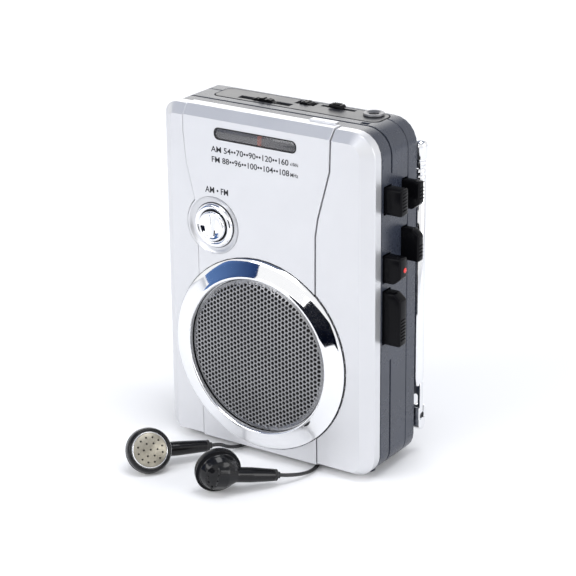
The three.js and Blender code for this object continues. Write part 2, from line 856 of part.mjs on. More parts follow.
const deck_outline = evenOblong(left + 5, right - 10.5, well_bottom + 3, well_bottom + 85, 2);
let deck = alongY(deck_outline, deck_y, deck_back);
for (const hub_z of hubs) {
  deck = deck.subtract(rod("y", 3.1, hub_x, hub_z, deck_y - 1, deck_back + 1, 16));
}
deck = deck.subtract(rod("y", capstan_radius + 0.8, capstan_x, capstan_z, deck_y - 1, deck_back + 1, 16));
deck = deck.subtract(rod("y", wheel_radius + 1, wheel_x, wheel_z, deck_y - 1, deck_back + 1, 32));
add("deck_plate", deck, steel());

add("flywheel", turnedY([
  [0, flywheel_front - 0.1],
  [capstan_radius, flywheel_front - 0.1],
  [2.6, flywheel_front],
  [flywheel_radius, flywheel_front],
  [flywheel_radius, flywheel_back],
  [2.6, flywheel_back],
  [2.6, flywheel_back + 1],
  [capstan_radius, flywheel_back + 1],
  [capstan_radius, spindle_end],
  [0, spindle_end],
], 28), steel(), player, [capstan_x, 0, capstan_z]);

function spindle() {
  let solid = turnedY([
    [0, flywheel_back + 1.2],
    [9, flywheel_back + 1.2],
    [9, flywheel_back + 3],
    [2.6, flywheel_back + 3],
    [2.6, deck_back + 0.5],
    [3.6, deck_back + 0.5],
    [3.6, deck_back + 2],
    [2.5, deck_back + 2],
    [2.5, spindle_end - 1],
    [1.2, spindle_end],
    [0, spindle_end],
  ], 14);
  for (let i = 0; i < 3; i += 1) {
    const fin = new THREE.BoxGeometry(8, spindle_end - 1.5 - deck_back - 2, 0.9);
    fin.translate(0, (spindle_end - 1.5 + deck_back + 2) / 2, 0);
    solid = solid.add(solidOf(fin.rotateY(i * Math.PI / 3)));
  }
  return solid;
}
add("take_up_spindle", spindle(), material(0xe8e8e4, 0.4, 0), player, [hub_x, 0, hubs[0]]);
add("supply_spindle", spindle(), material(0xe8e8e4, 0.4, 0), player, [hub_x, 0, hubs[1]]);

const motor_z = top - motor_drop;
const motor_back = flywheel_front;
add("motor", turnedY([
  [0, board_back + 0.8],
  [motor_radius - 1, board_back + 0.8],
  [motor_radius, board_back + 1.8],
  [motor_radius, motor_back],
  [3, motor_back],
  [3, motor_back + 0.3],
  [0, motor_back + 0.3],
], 28), steel(), player, [motor_x, 0, motor_z]);
add("motor_pulley", turnedY([
  [0, motor_back + 0.6],
  [pulley_radius + 0.8, motor_back + 0.6],
  [pulley_radius, motor_back + 1],
  [pulley_radius, motor_back + 2.4],
  [pulley_radius + 0.8, motor_back + 2.8],
  [0, motor_back + 2.8],
], 16), brass(), player, [motor_x, 0, motor_z]);

// an open belt: two arcs joined by the outer tangents of the two wheels
function beltOutline(grow) {
  const dx = motor_x - capstan_x;
  const dz = motor_z - capstan_z;
  const apart = Math.hypot(dx, dz);
  const along = Math.atan2(dz, dx);
  const big = flywheel_radius + grow;
  const small = pulley_radius + grow;
  const lean = Math.acos((big - small) / apart);
  const shape = new THREE.Shape();
  shape.absarc(capstan_x, capstan_z, big, along + lean, along - lean + 2 * Math.PI);
  shape.absarc(motor_x, motor_z, small, along - lean, along + lean);
  shape.closePath();
  return shape;
}
const belt_y = motor_back + 1.25;
const belt_outside = alongY(beltOutline(clearance + belt_thickness), belt_y, belt_y + 0.9, 8);
const belt_inside = alongY(beltOutline(clearance), belt_y - 1, belt_y + 2, 8);
add("drive_belt", belt_outside.subtract(belt_inside), material(0x1b1b1c, 0.8, 0));

const carriage_low = capstan_z - 8;
const carriage_high = well_middle + 28;
const carriage_plate = block(
  carriage_left, carriage_right, carriage_y, carriage_back, carriage_low, carriage_high,
);
const carriage_tab = block(
  carriage_right - 3, carriage_right, carriage_back - 0.2, carriage_back + 4, carriage_low + 14,
  carriage_low + 26,
);
const roller_hole = rod("y", 1.6, roller_x, capstan_z, carriage_y - 1, carriage_back + 1, 16);
const head_carriage = carriage_plate.add(carriage_tab).subtract(roller_hole);
add("head_carriage", head_carriage, steel());

const head_y = carriage_back + clearance;
function headSolid(depth, low, high) {
  const nose = tape_edge + 0.9;
  const points = [];
  for (const y of [head_y + 1.5, head_y + 9]) {
    points.push(new THREE.Vector3(nose + 1.6, y, low));
    points.push(new THREE.Vector3(nose + 1.6, y, high));
    points.push(new THREE.Vector3(nose, y, low + 2));
    points.push(new THREE.Vector3(nose, y, high - 2));
    points.push(new THREE.Vector3(nose + depth, y, low));
    points.push(new THREE.Vector3(nose + depth, y, high));
  }
  const foot_block = block(nose + 2, nose + depth, head_y, head_y + 2, low, high);
  return hull(points).add(foot_block);
}
add("record_head", headSolid(8, well_middle - 7, well_middle + 7), chrome());
add("erase_head", headSolid(6, well_middle + 14, well_middle + 21), blackGloss());

add("pinch_roller", turnedY([
  [0, carriage_y + 0.1],
  [1.2, carriage_y + 0.1],
  [1.2, head_y + 1.5],
  [roller_radius, head_y + 1.5],
  [roller_radius, head_y + 8.5],
  [1.2, head_y + 8.5],
  [1.2, spindle_end + 0.5],
  [0, spindle_end + 0.5],
], 20), material(0x222222, 0.7, 0), player, [roller_x, 0, capstan_z]);

// ---------------------------------------------------------------- power

function cell() {
  const half = cell_length / 2;
  const profile = [
    [0, -half + 0.2],
    [cell_radius - 1, -half + 0.2],
    [cell_radius, -half + 0.9],
    [cell_radius, half - 1.8],
    [cell_radius - 0.8, half - 1.2],
    [2.6, half - 1.2],
    [2.6, half],
    [0, half],
  ];
  return turnedZ(profile, 24).rotate([0, 90, 0]);
}
add("battery_cell_rear", cell(), material(0x2c5aa0, 0.3, 0.4), player, [0, rear_cell_y, low_cell_z]);
add("battery_cell_front", cell().rotate([0, 0, 180]), material(0x2c5aa0, 0.3, 0.4), player,
  [0, front_cell_y, front_cell_z]);
const contact_x = cell_length / 2 + clearance;
add("battery_contact", block(
  contact_x, contact_x + 0.5, front_cell_y - 3, rear_cell_y + 3, low_cell_z - 3, front_cell_z + 3,
), steel());

// ---------------------------------------------------------------- aerial

const swivel_z = 10.8;
const ear_y = 1.1 + clearance;
const ear_top = mast_pivot_z + 2.1;
const base_half = 2.3;
const base_block = block(-base_half, base_half, -base_half, base_half, swivel_z, swivel_z + 2.1);
const base_round = rod("x", base_half, 0, swivel_z, -base_half, base_half, 24);
const base_stub = rod("x", 1.2, 0, swivel_z, -6.5, -2, 16);
const front_ear = block(-2.2, 2.2, -base_half, -ear_y, swivel_z + 2, ear_top);
const rear_ear = block(-2.2, 2.2, ear_y, base_half, swivel_z + 2, ear_top);
const tilt_pin = rod("y", 0.6, 0, mast_pivot_z, -base_half, base_half, 12);
const aerial_base = base_block
  .add(base_round)
  .add(base_stub)
  .add(front_ear)
  .add(rear_ear)
  .add(tilt_pin);
add("aerial_base", aerial_base, chrome(), player, [mast_x, mast_y, 0]);

const tube_sides = 12;
function mastProfile(outer, inner, low, high) {
  return [[inner, low], [outer, low], [outer, high], [inner, high], [inner, low]];
}
const tongue_half = 1.9;
const tongue = block(-tongue_half, tongue_half, -1.1, 1.1, mast_pivot_z, mast_foot_z - 3)
  .add(rod("y", tongue_half, 0, mast_pivot_z, -1.1, 1.1, 20))
  .subtract(rod("y", 0.9, 0, mast_pivot_z, -2, 2, 12));
const tongue_slot = alongY(evenOblong(-0.8, 0.8, 18.1, 22.6, 0.75), -2, 2);
const taper = turnedZ([
  [0, mast_foot_z - 3.4],
  [1.8, mast_foot_z - 3.4],
  [mast_radius, mast_foot_z],
  [mast_radius, mast_foot_z + 1],
  [0, mast_foot_z + 1],
], tube_sides);
const outer_tube = turnedZ(
  mastProfile(mast_radius, mast_radius - mast_wall, mast_foot_z + 0.5, mast_top_z), tube_sides,
);
add("aerial_section_1", tongue.subtract(tongue_slot).add(taper).add(outer_tube), chrome(), player,
  [mast_x, mast_y, 0]);

const second_radius = mast_radius - mast_wall - mast_gap;
const third_radius = second_radius - mast_wall - mast_gap;
const fourth_radius = third_radius - mast_wall - mast_gap;
function nestedTube(radius, collar, low, collar_low, collar_high) {
  const inner = radius - mast_wall;
  return turnedZ([
    [inner, low],
    [radius, low],
    [radius, collar_low],
    [collar, collar_low],
    [collar, collar_high - 0.4],
    [collar - 0.4, collar_high],
    [inner, collar_high],
    [inner, low],
  ], tube_sides);
}
const collar_one = mast_top_z + clearance;
const collar_two = collar_one + 2.4;
const cap_low = collar_two + 2.4;
add("aerial_section_2", nestedTube(second_radius, mast_radius, mast_foot_z + 2, collar_one, collar_two - 0.3),
  chrome(), player, [mast_x, mast_y, 0]);
const third_end = cap_low - 0.3;
add("aerial_section_3", nestedTube(third_radius, mast_radius - 0.2, mast_foot_z + 4, collar_two, third_end),
  chrome(), player, [mast_x, mast_y, 0]);
add("aerial_tip", turnedZ([
  [0, mast_foot_z + 6],
  [fourth_radius, mast_foot_z + 6],
  [fourth_radius, cap_low],
  [mast_cap_radius - 0.5, cap_low],
  [mast_cap_radius, cap_low + 0.5],
  [mast_cap_radius, mast_cap_top - 2],
  [mast_cap_radius - 0.7, mast_cap_top - 0.6],
  [0, mast_cap_top],
], tube_sides), chrome(), player, [mast_x, mast_y, 0]);

// ---------------------------------------------------------------- earphones on the floor

// a bud in its own frame: the ear side faces +Z, the stem leaves behind it along +X
const stem_drop = -3.2;
const stem_radius = 2.5;
function budShell(stem_length) {
  const head = turnedZ([
    [0, -6.4],
    [3.6, -6],
    [6.4, -3.9],
    [7.4, -1.4],
    [bud_radius, -1.1],
    [bud_radius + 0.1, 0.8],
    [bud_radius - 0.4, 2.2],
    [bud_radius - 1.1, 2.8],
    [bud_radius - 1.4, 2.8],
    [bud_radius - 1.4, 1.6],
    [0, 1.6],
  ], 20);
  const stem = rod("x", stem_radius, 0, stem_drop, 0, stem_length, 12);
  const relief = rod("x", stem_radius * 0.7, 0, stem_drop, stem_length - 1, stem_length + 1.2, 12);
  const keep = rod("z", bud_radius + 40, 0, 0, -12, 1.6, 16);
  return head.add(stem.intersect(keep)).add(relief);
}
const bud_grille = [
  [0, 1.6 + clearance],
  [bud_radius - 1.7, 1.6 + clearance],
  [bud_radius - 1.7, 2.7],
  [bud_radius - 3.5, 3.3],
  [0, 3.7],
];

// turns a bud's own frame so that its ear side faces one way and its stem runs another
function budPlace(centre, facing, stem_way) {
  const z_axis = new THREE.Vector3(...facing).normalize();
  const stem_axis = new THREE.Vector3(...stem_way).normalize();
  const x_axis = stem_axis.clone().addScaledVector(z_axis, -stem_axis.dot(z_axis)).normalize();
  const y_axis = new THREE.Vector3().crossVectors(z_axis, x_axis);
  return new THREE.Matrix4().makeBasis(x_axis, y_axis, z_axis).setPosition(...centre);
}

function addBud(side, centre, facing, stem_way, stem_length) {
  const place = budPlace(centre, facing, stem_way);
  const shell = add(`${side}_bud_shell`, budShell(stem_length), blackGloss(), earphones);
  const grille = add(`${side}_bud_grille`, turnedZ(bud_grille, 20), material(0xb5ae9c, 0.35, 0.6), earphones);
  for (const mesh of [shell, grille]) {
    mesh.matrix.copy(place);
    mesh.matrix.decompose(mesh.position, mesh.quaternion, mesh.scale);
  }
  return new THREE.Vector3(stem_length + 1.2, 0, stem_drop).applyMatrix4(place);
}

const left_way = [0.61, 0.78, -0.06];
const right_way = [0.58, 0.79, -0.18];
const left_tip = addBud("left", [-31.1, -32.1, 7.95], [0.71, -0.53, 0.47], left_way, 24);
const right_tip = addBud("right", [0.8, -33, 8.6], [-0.78, 0.6, 0.14], right_way, 22);

const lead_z = lead_diameter / 2 + 0.1;
const coil_centre = [-43, 53];
const coil_outer = coil_inner_turn + (coil_columns - 1) * coil_pitch + lead_diameter / 2;
const coil_inner = coil_inner_turn - lead_diameter / 2;
const coil_top = lead_z + (coil_layers - 1) * coil_pitch + lead_diameter / 2;

function tube(points) {
  const path = new THREE.CatmullRomCurve3(points.map((point) => new THREE.Vector3(...point)));
  const section = new THREE.Shape();
  for (let i = 0; i < 8; i += 1) {
    const angle = (i + 0.5) * Math.PI / 4;
    const spot = [lead_diameter / 2 * Math.cos(angle), lead_diameter / 2 * Math.sin(angle)];
    if (i === 0) {
      section.moveTo(...spot);
    } else {
      section.lineTo(...spot);
    }
  }
  section.closePath();
  const steps = Math.min(Math.round(path.getLength() / (3 * lead_diameter)), 60);
  return solidOf(new THREE.ExtrudeGeometry(section, { extrudePath: path, steps, bevelEnabled: false }));
}

// a tip with a short straight piece of lead in line with its stem
function leaving(tip, way, distance) {
  const ahead = new THREE.Vector3(...way).normalize();
  return tip.clone().addScaledVector(ahead, distance).toArray();
}

add("left_lead", tube([
  leaving(left_tip, left_way, 0.5),
  leaving(left_tip, left_way, 3),
  [-14.4, -4.4, lead_z + 2],
  [-13.4, 1.6, lead_z + 0.3],
  [-11.6, 9.6, lead_z],
  [-10.5, 18, lead_z],
  [-14, 27, lead_z],
  [-21, 35, lead_z],
  [-29, 40.4, lead_z],
  [-36.5, 42.4, lead_z],
]), blackGloss(), earphones);
add("right_lead", tube([
  leaving(right_tip, right_way, 0.5),
  leaving(right_tip, right_way, 3),
  [20.6, -8.4, lead_z + 1.3],
  [21, -1.6, lead_z + 0.2],
  [19.7, 4.6, lead_z],
  [16.6, 11, lead_z],
  [9, 20, lead_z],
  [-2, 28, lead_z],
  [-12, 34.5, lead_z],
  [-20.5, 39.4, lead_z],
  [-27.5, 43, lead_z],
  [-31.2, 44.4, lead_z + 0.2],
  [-34.8, 45.3, lead_z + 1.9],
]), blackGloss(), earphones);
add("lead_coil", turnedZ([
  [coil_inner, lead_z - lead_diameter / 2],
  [coil_outer, lead_z - lead_diameter / 2],
  [coil_outer, coil_top],
  [coil_inner, coil_top],
  [coil_inner, lead_z - lead_diameter / 2],
], 28), blackGloss(), earphones, [...coil_centre, 0]);

// a turned piece whose own Z axis runs one way from a point on the floor
function layAlong(mesh, from, way) {
  mesh.position.set(...from);
  mesh.quaternion.setFromUnitVectors(new THREE.Vector3(0, 0, 1), new THREE.Vector3(...way).normalize());
}

const splitter_radius = 2.1;
const splitter_length = 10;
const splitter_turn = 100 * Math.PI / 180;
const splitter_reach = coil_outer + clearance + splitter_radius;
const splitter_way = [Math.sin(splitter_turn), -Math.cos(splitter_turn), 0];
const splitter = add("lead_splitter", turnedZ([
  [0, 0],
  [splitter_radius - 0.3, 0],
  [splitter_radius, 0.6],
  [splitter_radius, splitter_length - 3],
  [lead_diameter, splitter_length],
  [0, splitter_length],
], 16), blackGloss(), earphones);
layAlong(splitter, [
  coil_centre[0] + splitter_reach * Math.cos(splitter_turn) - splitter_way[0] * splitter_length / 2,
  coil_centre[1] + splitter_reach * Math.sin(splitter_turn) - splitter_way[1] * splitter_length / 2,
  splitter_radius + 0.05,
], splitter_way);

const plug_radius = 3;
const plug_contact = 1.75;
const plug_start = [-36, 73.8, plug_radius + 0.05];
add("main_lead", tube([
  [-54.4, 57.6, 9.6],
  [-55.6, 62, 7],
  [-55, 67, 4.6],
  [-51, 71.6, 3.3],
  [-45, 73.6, 3.05],
  [-40, 73.8, 3.05],
  [plug_start[0] - clearance, 73.8, 3.05],
]), blackGloss(), earphones);
const plug = add("plug", turnedZ([
  [0, 0],
  [1.3, 0],
  [1.9, 5],
  [plug_radius - 0.4, 5.2],
  [plug_radius, 6],
  [plug_radius, 19],
  [plug_radius - 0.6, 20],
  [plug_contact, 20],
  [plug_contact, 31.4],
  [plug_contact - 0.5, 32],
  [plug_contact - 0.2, 32.8],
  [0, 34.2],
], 20), blackGloss(), earphones);
layAlong(plug, plug_start, [1, 0, 0]);

// ---------------------------------------------------------------- the whole

const assembly = new THREE.Group();
assembly.add(player, earphones);
assembly.updateMatrixWorld(true);
const player_box = new THREE.Box3().setFromObject(player);
assembly.position.set(
  -(player_box.min.x + player_box.max.x) / 2,
  -(player_box.min.y + player_box.max.y) / 2,
  -player_box.min.z,
);
const root = new THREE.Group();
root.add(assembly);
root.updateMatrixWorld(true);

export default root;
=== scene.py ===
import json
import math
import bpy
from mathutils import Matrix, Vector


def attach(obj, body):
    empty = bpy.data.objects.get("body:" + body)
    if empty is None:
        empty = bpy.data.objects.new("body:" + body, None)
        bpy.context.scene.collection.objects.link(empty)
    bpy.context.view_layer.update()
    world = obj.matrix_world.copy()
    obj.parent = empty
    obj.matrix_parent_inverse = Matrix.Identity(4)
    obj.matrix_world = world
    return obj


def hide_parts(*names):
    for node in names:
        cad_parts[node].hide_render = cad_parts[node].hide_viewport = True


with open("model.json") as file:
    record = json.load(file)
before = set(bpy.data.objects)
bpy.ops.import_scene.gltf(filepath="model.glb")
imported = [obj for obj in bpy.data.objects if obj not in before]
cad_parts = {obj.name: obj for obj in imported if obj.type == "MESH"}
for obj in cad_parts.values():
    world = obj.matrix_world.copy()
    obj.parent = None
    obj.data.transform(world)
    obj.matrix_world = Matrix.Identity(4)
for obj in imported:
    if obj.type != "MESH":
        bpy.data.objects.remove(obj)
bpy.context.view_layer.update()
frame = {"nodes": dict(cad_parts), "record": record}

MM = 0.001
WELD = 1e-6
TAU = 2 * math.pi

# the player's own drawing has its origin under the middle of its front face
PLAYER_SHIFT = Vector((-3.5, -17.4, 1.8))
FLOOR_SHIFT = Vector((-3.5, -17.4, 0))


def at(x, y, z):
    """A point of the player's drawing, in metres in the shared frame."""
    return (Vector((x, y, z)) + PLAYER_SHIFT) * MM


def on_floor(x, y, z):
    """A point of the earphones' drawing, whose floor is at z = 0."""
    return (Vector((x, y, z)) + FLOOR_SHIFT) * MM


# ---------------------------------------------------------------- camera

camera_data = bpy.data.cameras.new("camera")
camera = bpy.data.objects.new("camera", camera_data)
bpy.context.scene.collection.objects.link(camera)
camera_data.lens = 132.76
camera_data.sensor_width = 36
camera_data.shift_x = -0.01508
camera_data.shift_y = -0.02369
camera_data.clip_start = 0.01
camera_data.clip_end = 50
CAMERA_AZIMUTH = math.radians(33.632)
CAMERA_ELEVATION = math.radians(20.277)
CAMERA_ROLL = math.radians(-0.497)
camera.matrix_world = (
    Matrix.Translation((0.406175, -0.612463, 0.340079))
    @ Matrix.Rotation(CAMERA_AZIMUTH, 4, "Z")
    @ Matrix.Rotation(math.pi / 2 - CAMERA_ELEVATION, 4, "X")
    @ Matrix.Rotation(CAMERA_ROLL, 4, "Z")
)
bpy.context.scene.camera = camera

# ---------------------------------------------------------------- shader node groups


def new_group(name, inputs, outputs):
    group = bpy.data.node_groups.new(name, "ShaderNodeTree")
    for label, kind, value in inputs:
        socket = group.interface.new_socket(label, in_out="INPUT", socket_type=kind)
        if value is not None:
            socket.default_value = value
    for label, kind in outputs:
        group.interface.new_socket(label, in_out="OUTPUT", socket_type=kind)
    source = group.nodes.new("NodeGroupInput")
    sink = group.nodes.new("NodeGroupOutput")
    return group, source, sink


def node_in(tree, kind, **settings):
    node = tree.nodes.new(kind)
    for key, value in settings.items():
        setattr(node, key, value)
    return node


def noise_node(tree, where, scale, detail, rough=0.55):
    noise = node_in(tree, "ShaderNodeTexNoise")
    noise.inputs["Detail"].default_value = detail
    noise.inputs["Roughness"].default_value = rough
    tree.links.new(where, noise.inputs["Vector"])
    if isinstance(scale, (int, float)):
        noise.inputs["Scale"].default_value = scale
    else:
        tree.links.new(scale, noise.inputs["Scale"])
    return noise


def spread_node(tree, value, low, high):
    spread = node_in(tree, "ShaderNodeMapRange")
    spread.inputs["From Min"].default_value = 0.3
    spread.inputs["From Max"].default_value = 0.7
    tree.links.new(value, spread.inputs["Value"])
    for label, given in (("To Min", low), ("To Max", high)):
        if isinstance(given, (int, float)):
            spread.inputs[label].default_value = given
        else:
            tree.links.new(given, spread.inputs[label])
    return spread


def make_mottle_group():
    """Slow drifts of lightness over a moulding or a plated skin."""
    group, source, sink = new_group(
        "mottle",
        [("Vector", "NodeSocketVector", None), ("Colour", "NodeSocketColor", (0.5, 0.5, 0.5, 1)),
         ("Scale", "NodeSocketFloat", 60.0), ("Darkest", "NodeSocketFloat", 0.95)],
        [("Colour", "NodeSocketColor")],
    )
    noise = noise_node(group, source.outputs["Vector"], source.outputs["Scale"], 4.0)
    level = spread_node(group, noise.outputs["Fac"], source.outputs["Darkest"], 1.0)
    shade = node_in(group, "ShaderNodeVectorMath", operation="SCALE")
    group.links.new(source.outputs["Colour"], shade.inputs[0])
    group.links.new(level.outputs["Result"], shade.inputs["Scale"])
    group.links.new(shade.outputs["Vector"], sink.inputs["Colour"])
    return group


def make_grain_group():
    """The height of a fine moulded or sprayed grain, and of its long rubbed lines."""
    group, source, sink = new_group(
        "grain",
        [("Vector", "NodeSocketVector", None), ("Scale", "NodeSocketFloat", 3000.0),
         ("Line", "NodeSocketFloat", 0.0)],
        [("Height", "NodeSocketFloat")],
    )
    noise = noise_node(group, source.outputs["Vector"], source.outputs["Scale"], 2.0)
    long_way = node_in(group, "ShaderNodeVectorMath", operation="MULTIPLY")
    long_way.inputs[1].default_value = (1.0, 1.0, 0.03)
    group.links.new(source.outputs["Vector"], long_way.inputs[0])
    lines = noise_node(group, long_way.outputs["Vector"], source.outputs["Scale"], 2.0)
    blend = node_in(group, "ShaderNodeMix", data_type="FLOAT")
    group.links.new(source.outputs["Line"], blend.inputs["Factor"])
    group.links.new(noise.outputs["Fac"], blend.inputs["A"])
    group.links.new(lines.outputs["Fac"], blend.inputs["B"])
    group.links.new(blend.outputs["Result"], sink.inputs["Height"])
    return group


def make_handling_group():
    """Roughness with faint smears and hairline scratches from handling."""
    group, source, sink = new_group(
        "handling",
        [("Vector", "NodeSocketVector", None), ("Roughness", "NodeSocketFloat", 0.3),
         ("Smear", "NodeSocketFloat", 0.06)],
        [("Roughness", "NodeSocketFloat")],
    )
    smear = noise_node(group, source.outputs["Vector"], 90.0, 5.0, 0.65)
    smear_level = spread_node(group, smear.outputs["Fac"], 0.0, source.outputs["Smear"])
    squeeze = node_in(group, "ShaderNodeVectorMath", operation="MULTIPLY")
    squeeze.inputs[1].default_value = (0.15, 1.0, 1.0)
    group.links.new(source.outputs["Vector"], squeeze.inputs[0])
    hair = noise_node(group, squeeze.outputs["Vector"], 1800.0, 1.0)
    hair_level = node_in(group, "ShaderNodeMapRange")
    hair_level.inputs["From Min"].default_value = 0.68
    hair_level.inputs["From Max"].default_value = 0.74
    group.links.new(hair.outputs["Fac"], hair_level.inputs["Value"])
    group.links.new(source.outputs["Smear"], hair_level.inputs["To Max"])
    first = node_in(group, "ShaderNodeMath", operation="ADD")
    group.links.new(source.outputs["Roughness"], first.inputs[0])
    group.links.new(smear_level.outputs["Result"], first.inputs[1])
    second = node_in(group, "ShaderNodeMath", operation="ADD")
    group.links.new(first.outputs["Value"], second.inputs[0])
    group.links.new(hair_level.outputs["Result"], second.inputs[1])
    group.links.new(second.outputs["Value"], sink.inputs["Roughness"])
    return group


MOTTLE = make_mottle_group()
GRAIN = make_grain_group()
HANDLING = make_handling_group()


def place_group(tree, group, **values):
    node = node_in(tree, "ShaderNodeGroup")
    node.node_tree = group
    for label, value in values.items():
        if isinstance(value, bpy.types.NodeSocket):
            tree.links.new(value, node.inputs[label])
        else:
            node.inputs[label].default_value = value
    return node


def finish(name, colour, rough, metal=0.0, smear=0.05, grain=3000.0, bump=0.05, line=0.0,
           patch=60.0, darkest=0.93, coat=0.0, coat_rough=0.1, specular=0.5, clear=0.0,
           glow=0.0):
    """A surface finish: mottled colour, handled roughness and a fine grain."""
    material = bpy.data.materials.new(name)
    material.use_nodes = True
    tree = material.node_tree
    shader = tree.nodes["Principled BSDF"]
    where = node_in(tree, "ShaderNodeTexCoord").outputs["Object"]
    mottle = place_group(tree, MOTTLE, Vector=where, Colour=(*colour, 1), Scale=patch, Darkest=darkest)
    tree.links.new(mottle.outputs["Colour"], shader.inputs["Base Color"])
    handling = place_group(tree, HANDLING, Vector=where, Roughness=rough, Smear=smear)
    tree.links.new(handling.outputs["Roughness"], shader.inputs["Roughness"])
    height = place_group(tree, GRAIN, Vector=where, Scale=grain, Line=line)
    bump_node = node_in(tree, "ShaderNodeBump")
    bump_node.inputs["Strength"].default_value = bump
    bump_node.inputs["Distance"].default_value = 0.0001
    tree.links.new(height.outputs["Height"], bump_node.inputs["Height"])
    tree.links.new(bump_node.outputs["Normal"], shader.inputs["Normal"])
    shader.inputs["Metallic"].default_value = metal
    shader.inputs["Coat Weight"].default_value = coat
    shader.inputs["Coat Roughness"].default_value = coat_rough
    shader.inputs["Specular IOR Level"].default_value = specular
    shader.inputs["Transmission Weight"].default_value = clear
    # An optional emission, which paints a glow on a part that is no lamp.
    if glow:
        shader.inputs["Emission Color"].default_value = (*colour, 1)
        shader.inputs["Emission Strength"].default_value = glow
    return material


silver_paint = finish("silver_paint", (0.66, 0.665, 0.685), 0.34, 0.7, 0.04, 5200, 0.10, darkest=0.97)
# A darker copy of the silver paint, which paints shade on the band knob's dish.
shaded_silver_paint = finish("shaded_silver_paint", (0.60, 0.605, 0.625), 0.28, 0.7, 0.04, 5200, 0.10, darkest=0.97)
housing_plastic = finish("housing_plastic", (0.030, 0.036, 0.054), 0.24, 0.0, 0.07, 2600, 0.16,
                         darkest=0.80)
plate_plastic = finish("plate_plastic", (0.035, 0.036, 0.042), 0.30, 0.0, 0.06, 2600, 0.16, darkest=0.82)
key_gloss = finish("key_gloss", (0.004, 0.004, 0.005), 0.12, 0.0, 0.06, 1800, 0.04, darkest=0.75,
                   specular=0.08)
# A plain black for real black parts, also used as painted shade in gaps, slot bottoms, screw wells and
# vents, and as a painted shadow line round the speaker ring.
black_and_painted_shade = finish("black_and_painted_shade", (0.004, 0.004, 0.005), 0.6, 0.0, 0.05, 2600, 0.2, darkest=0.7)
bright_chrome = finish("bright_chrome", (0.90, 0.905, 0.92), 0.035, 1.0, 0.03, 700, 0.01, darkest=0.97)
mast_chrome = finish("mast_chrome", (0.86, 0.865, 0.88), 0.09, 1.0, 0.06, 2400, 0.04, 1.0, darkest=0.93)
grille_metal = finish("grille_metal", (0.34, 0.34, 0.35), 0.36, 0.9, 0.08, 3400, 0.12, darkest=0.88)
plated_steel = finish("plated_steel", (0.56, 0.565, 0.58), 0.30, 1.0, 0.10, 2200, 0.10, 1.0, darkest=0.86)
dark_window = finish("dark_window", (0.055, 0.055, 0.06), 0.06, 0.0, 0.03, 900, 0.01, darkest=0.9,
                     coat=0.8, coat_rough=0.03)
smoked_window = finish("smoked_window", (0.42, 0.42, 0.44), 0.04, 0.0, 0.03, 900, 0.01, darkest=0.9,
                       clear=0.85)
cone_paper = finish("cone_paper", (0.018, 0.018, 0.018), 0.85, 0.0, 0.05, 1500, 0.6, darkest=0.6)
board_lacquer = finish("board_lacquer", (0.02, 0.12, 0.045), 0.35, 0.0, 0.08, 1200, 0.2, darkest=0.7)
dull_ferrite = finish("dull_ferrite", (0.022, 0.021, 0.021), 0.7, 0.0, 0.08, 1800, 0.4, darkest=0.6)
turned_brass = finish("turned_brass", (0.72, 0.53, 0.22), 0.22, 1.0, 0.08, 2600, 0.1, 1.0, darkest=0.85)
dull_rubber = finish("dull_rubber", (0.015, 0.015, 0.016), 0.62, 0.0, 0.10, 2400, 0.35, darkest=0.7)
white_nylon = finish("white_nylon", (0.70, 0.70, 0.66), 0.42, 0.0, 0.06, 2000, 0.12, darkest=0.9)
# The dial pointer's orange, with an emission that paints a glow on it though it is no lamp.
pointer_orange_painted_glow = finish("pointer_orange_painted_glow", (0.85, 0.13, 0.03), 0.4, 0.0, 0.05, 2000, 0.1, darkest=0.85,
                        glow=0.45)
record_red = finish("record_red", (0.75, 0.03, 0.025), 0.35, 0.0, 0.05, 2000, 0.1, darkest=0.85)
cell_sleeve = finish("cell_sleeve", (0.05, 0.13, 0.36), 0.25, 0.3, 0.08, 1200, 0.05, darkest=0.85, coat=0.5)
lead_vinyl = finish("lead_vinyl", (0.018, 0.018, 0.020), 0.34, 0.0, 0.08, 2600, 0.15, darkest=0.75)
bud_plastic = finish("bud_plastic", (0.006, 0.006, 0.007), 0.10, 0.0, 0.05, 1800, 0.04, darkest=0.75,
                     specular=0.3)
bud_screen = finish("bud_screen", (0.42, 0.39, 0.32), 0.36, 0.75, 0.08, 3000, 0.3, patch=260, darkest=0.62)
print_ink = finish("print_ink", (0.012, 0.012, 0.016), 0.5, 0.0, 0.05, 3000, 0.05, darkest=0.85)

SLOT_FINISH = {
    "silver_paint": silver_paint, "dark_plastic": housing_plastic, "black_plastic": key_gloss,
    "chrome_plate": bright_chrome, "grille_metal": grille_metal, "smoked_window": smoked_window,
    "sheet_steel": plated_steel, "paper_cone": cone_paper, "circuit_board": board_lacquer,
    "ferrite": dull_ferrite, "brass_turned": turned_brass, "black_rubber": dull_rubber,
    "white_plastic": white_nylon, "red_plastic": pointer_orange_painted_glow, "cell_jacket": cell_sleeve,
    "lead_jacket": lead_vinyl, "bud_screen": bud_screen,
}
NODE_SLOT = {part["node"]: part["material_slot"] for part in frame["record"]["subparts"]}
NODE_BODY = {
    node: body
    for body, members in frame["record"]["behaviour"]["bodies"].items()
    for node in members
}
for node_name, node_object in frame["nodes"].items():
    node_object.data.materials.clear()
    node_object.data.materials.append(SLOT_FINISH[NODE_SLOT[node_name]])

# ---------------------------------------------------------------- modelling helpers


def deselect():
    if bpy.context.mode != "OBJECT":
        bpy.ops.object.mode_set(mode="OBJECT")
    bpy.ops.object.select_all(action="DESELECT")


def added(operator, **settings):
    deselect()
    operator(**settings)
    return bpy.context.object


def focus(obj):
    deselect()
    obj.select_set(True)
    bpy.context.view_layer.objects.active = obj


def edit(obj, what="VERT", select="SELECT"):
    focus(obj)
    bpy.ops.object.mode_set(mode="EDIT")
    bpy.ops.mesh.select_mode(type=what)
    bpy.ops.mesh.select_all(action=select)


def leave_edit():
    bpy.ops.object.mode_set(mode="OBJECT")


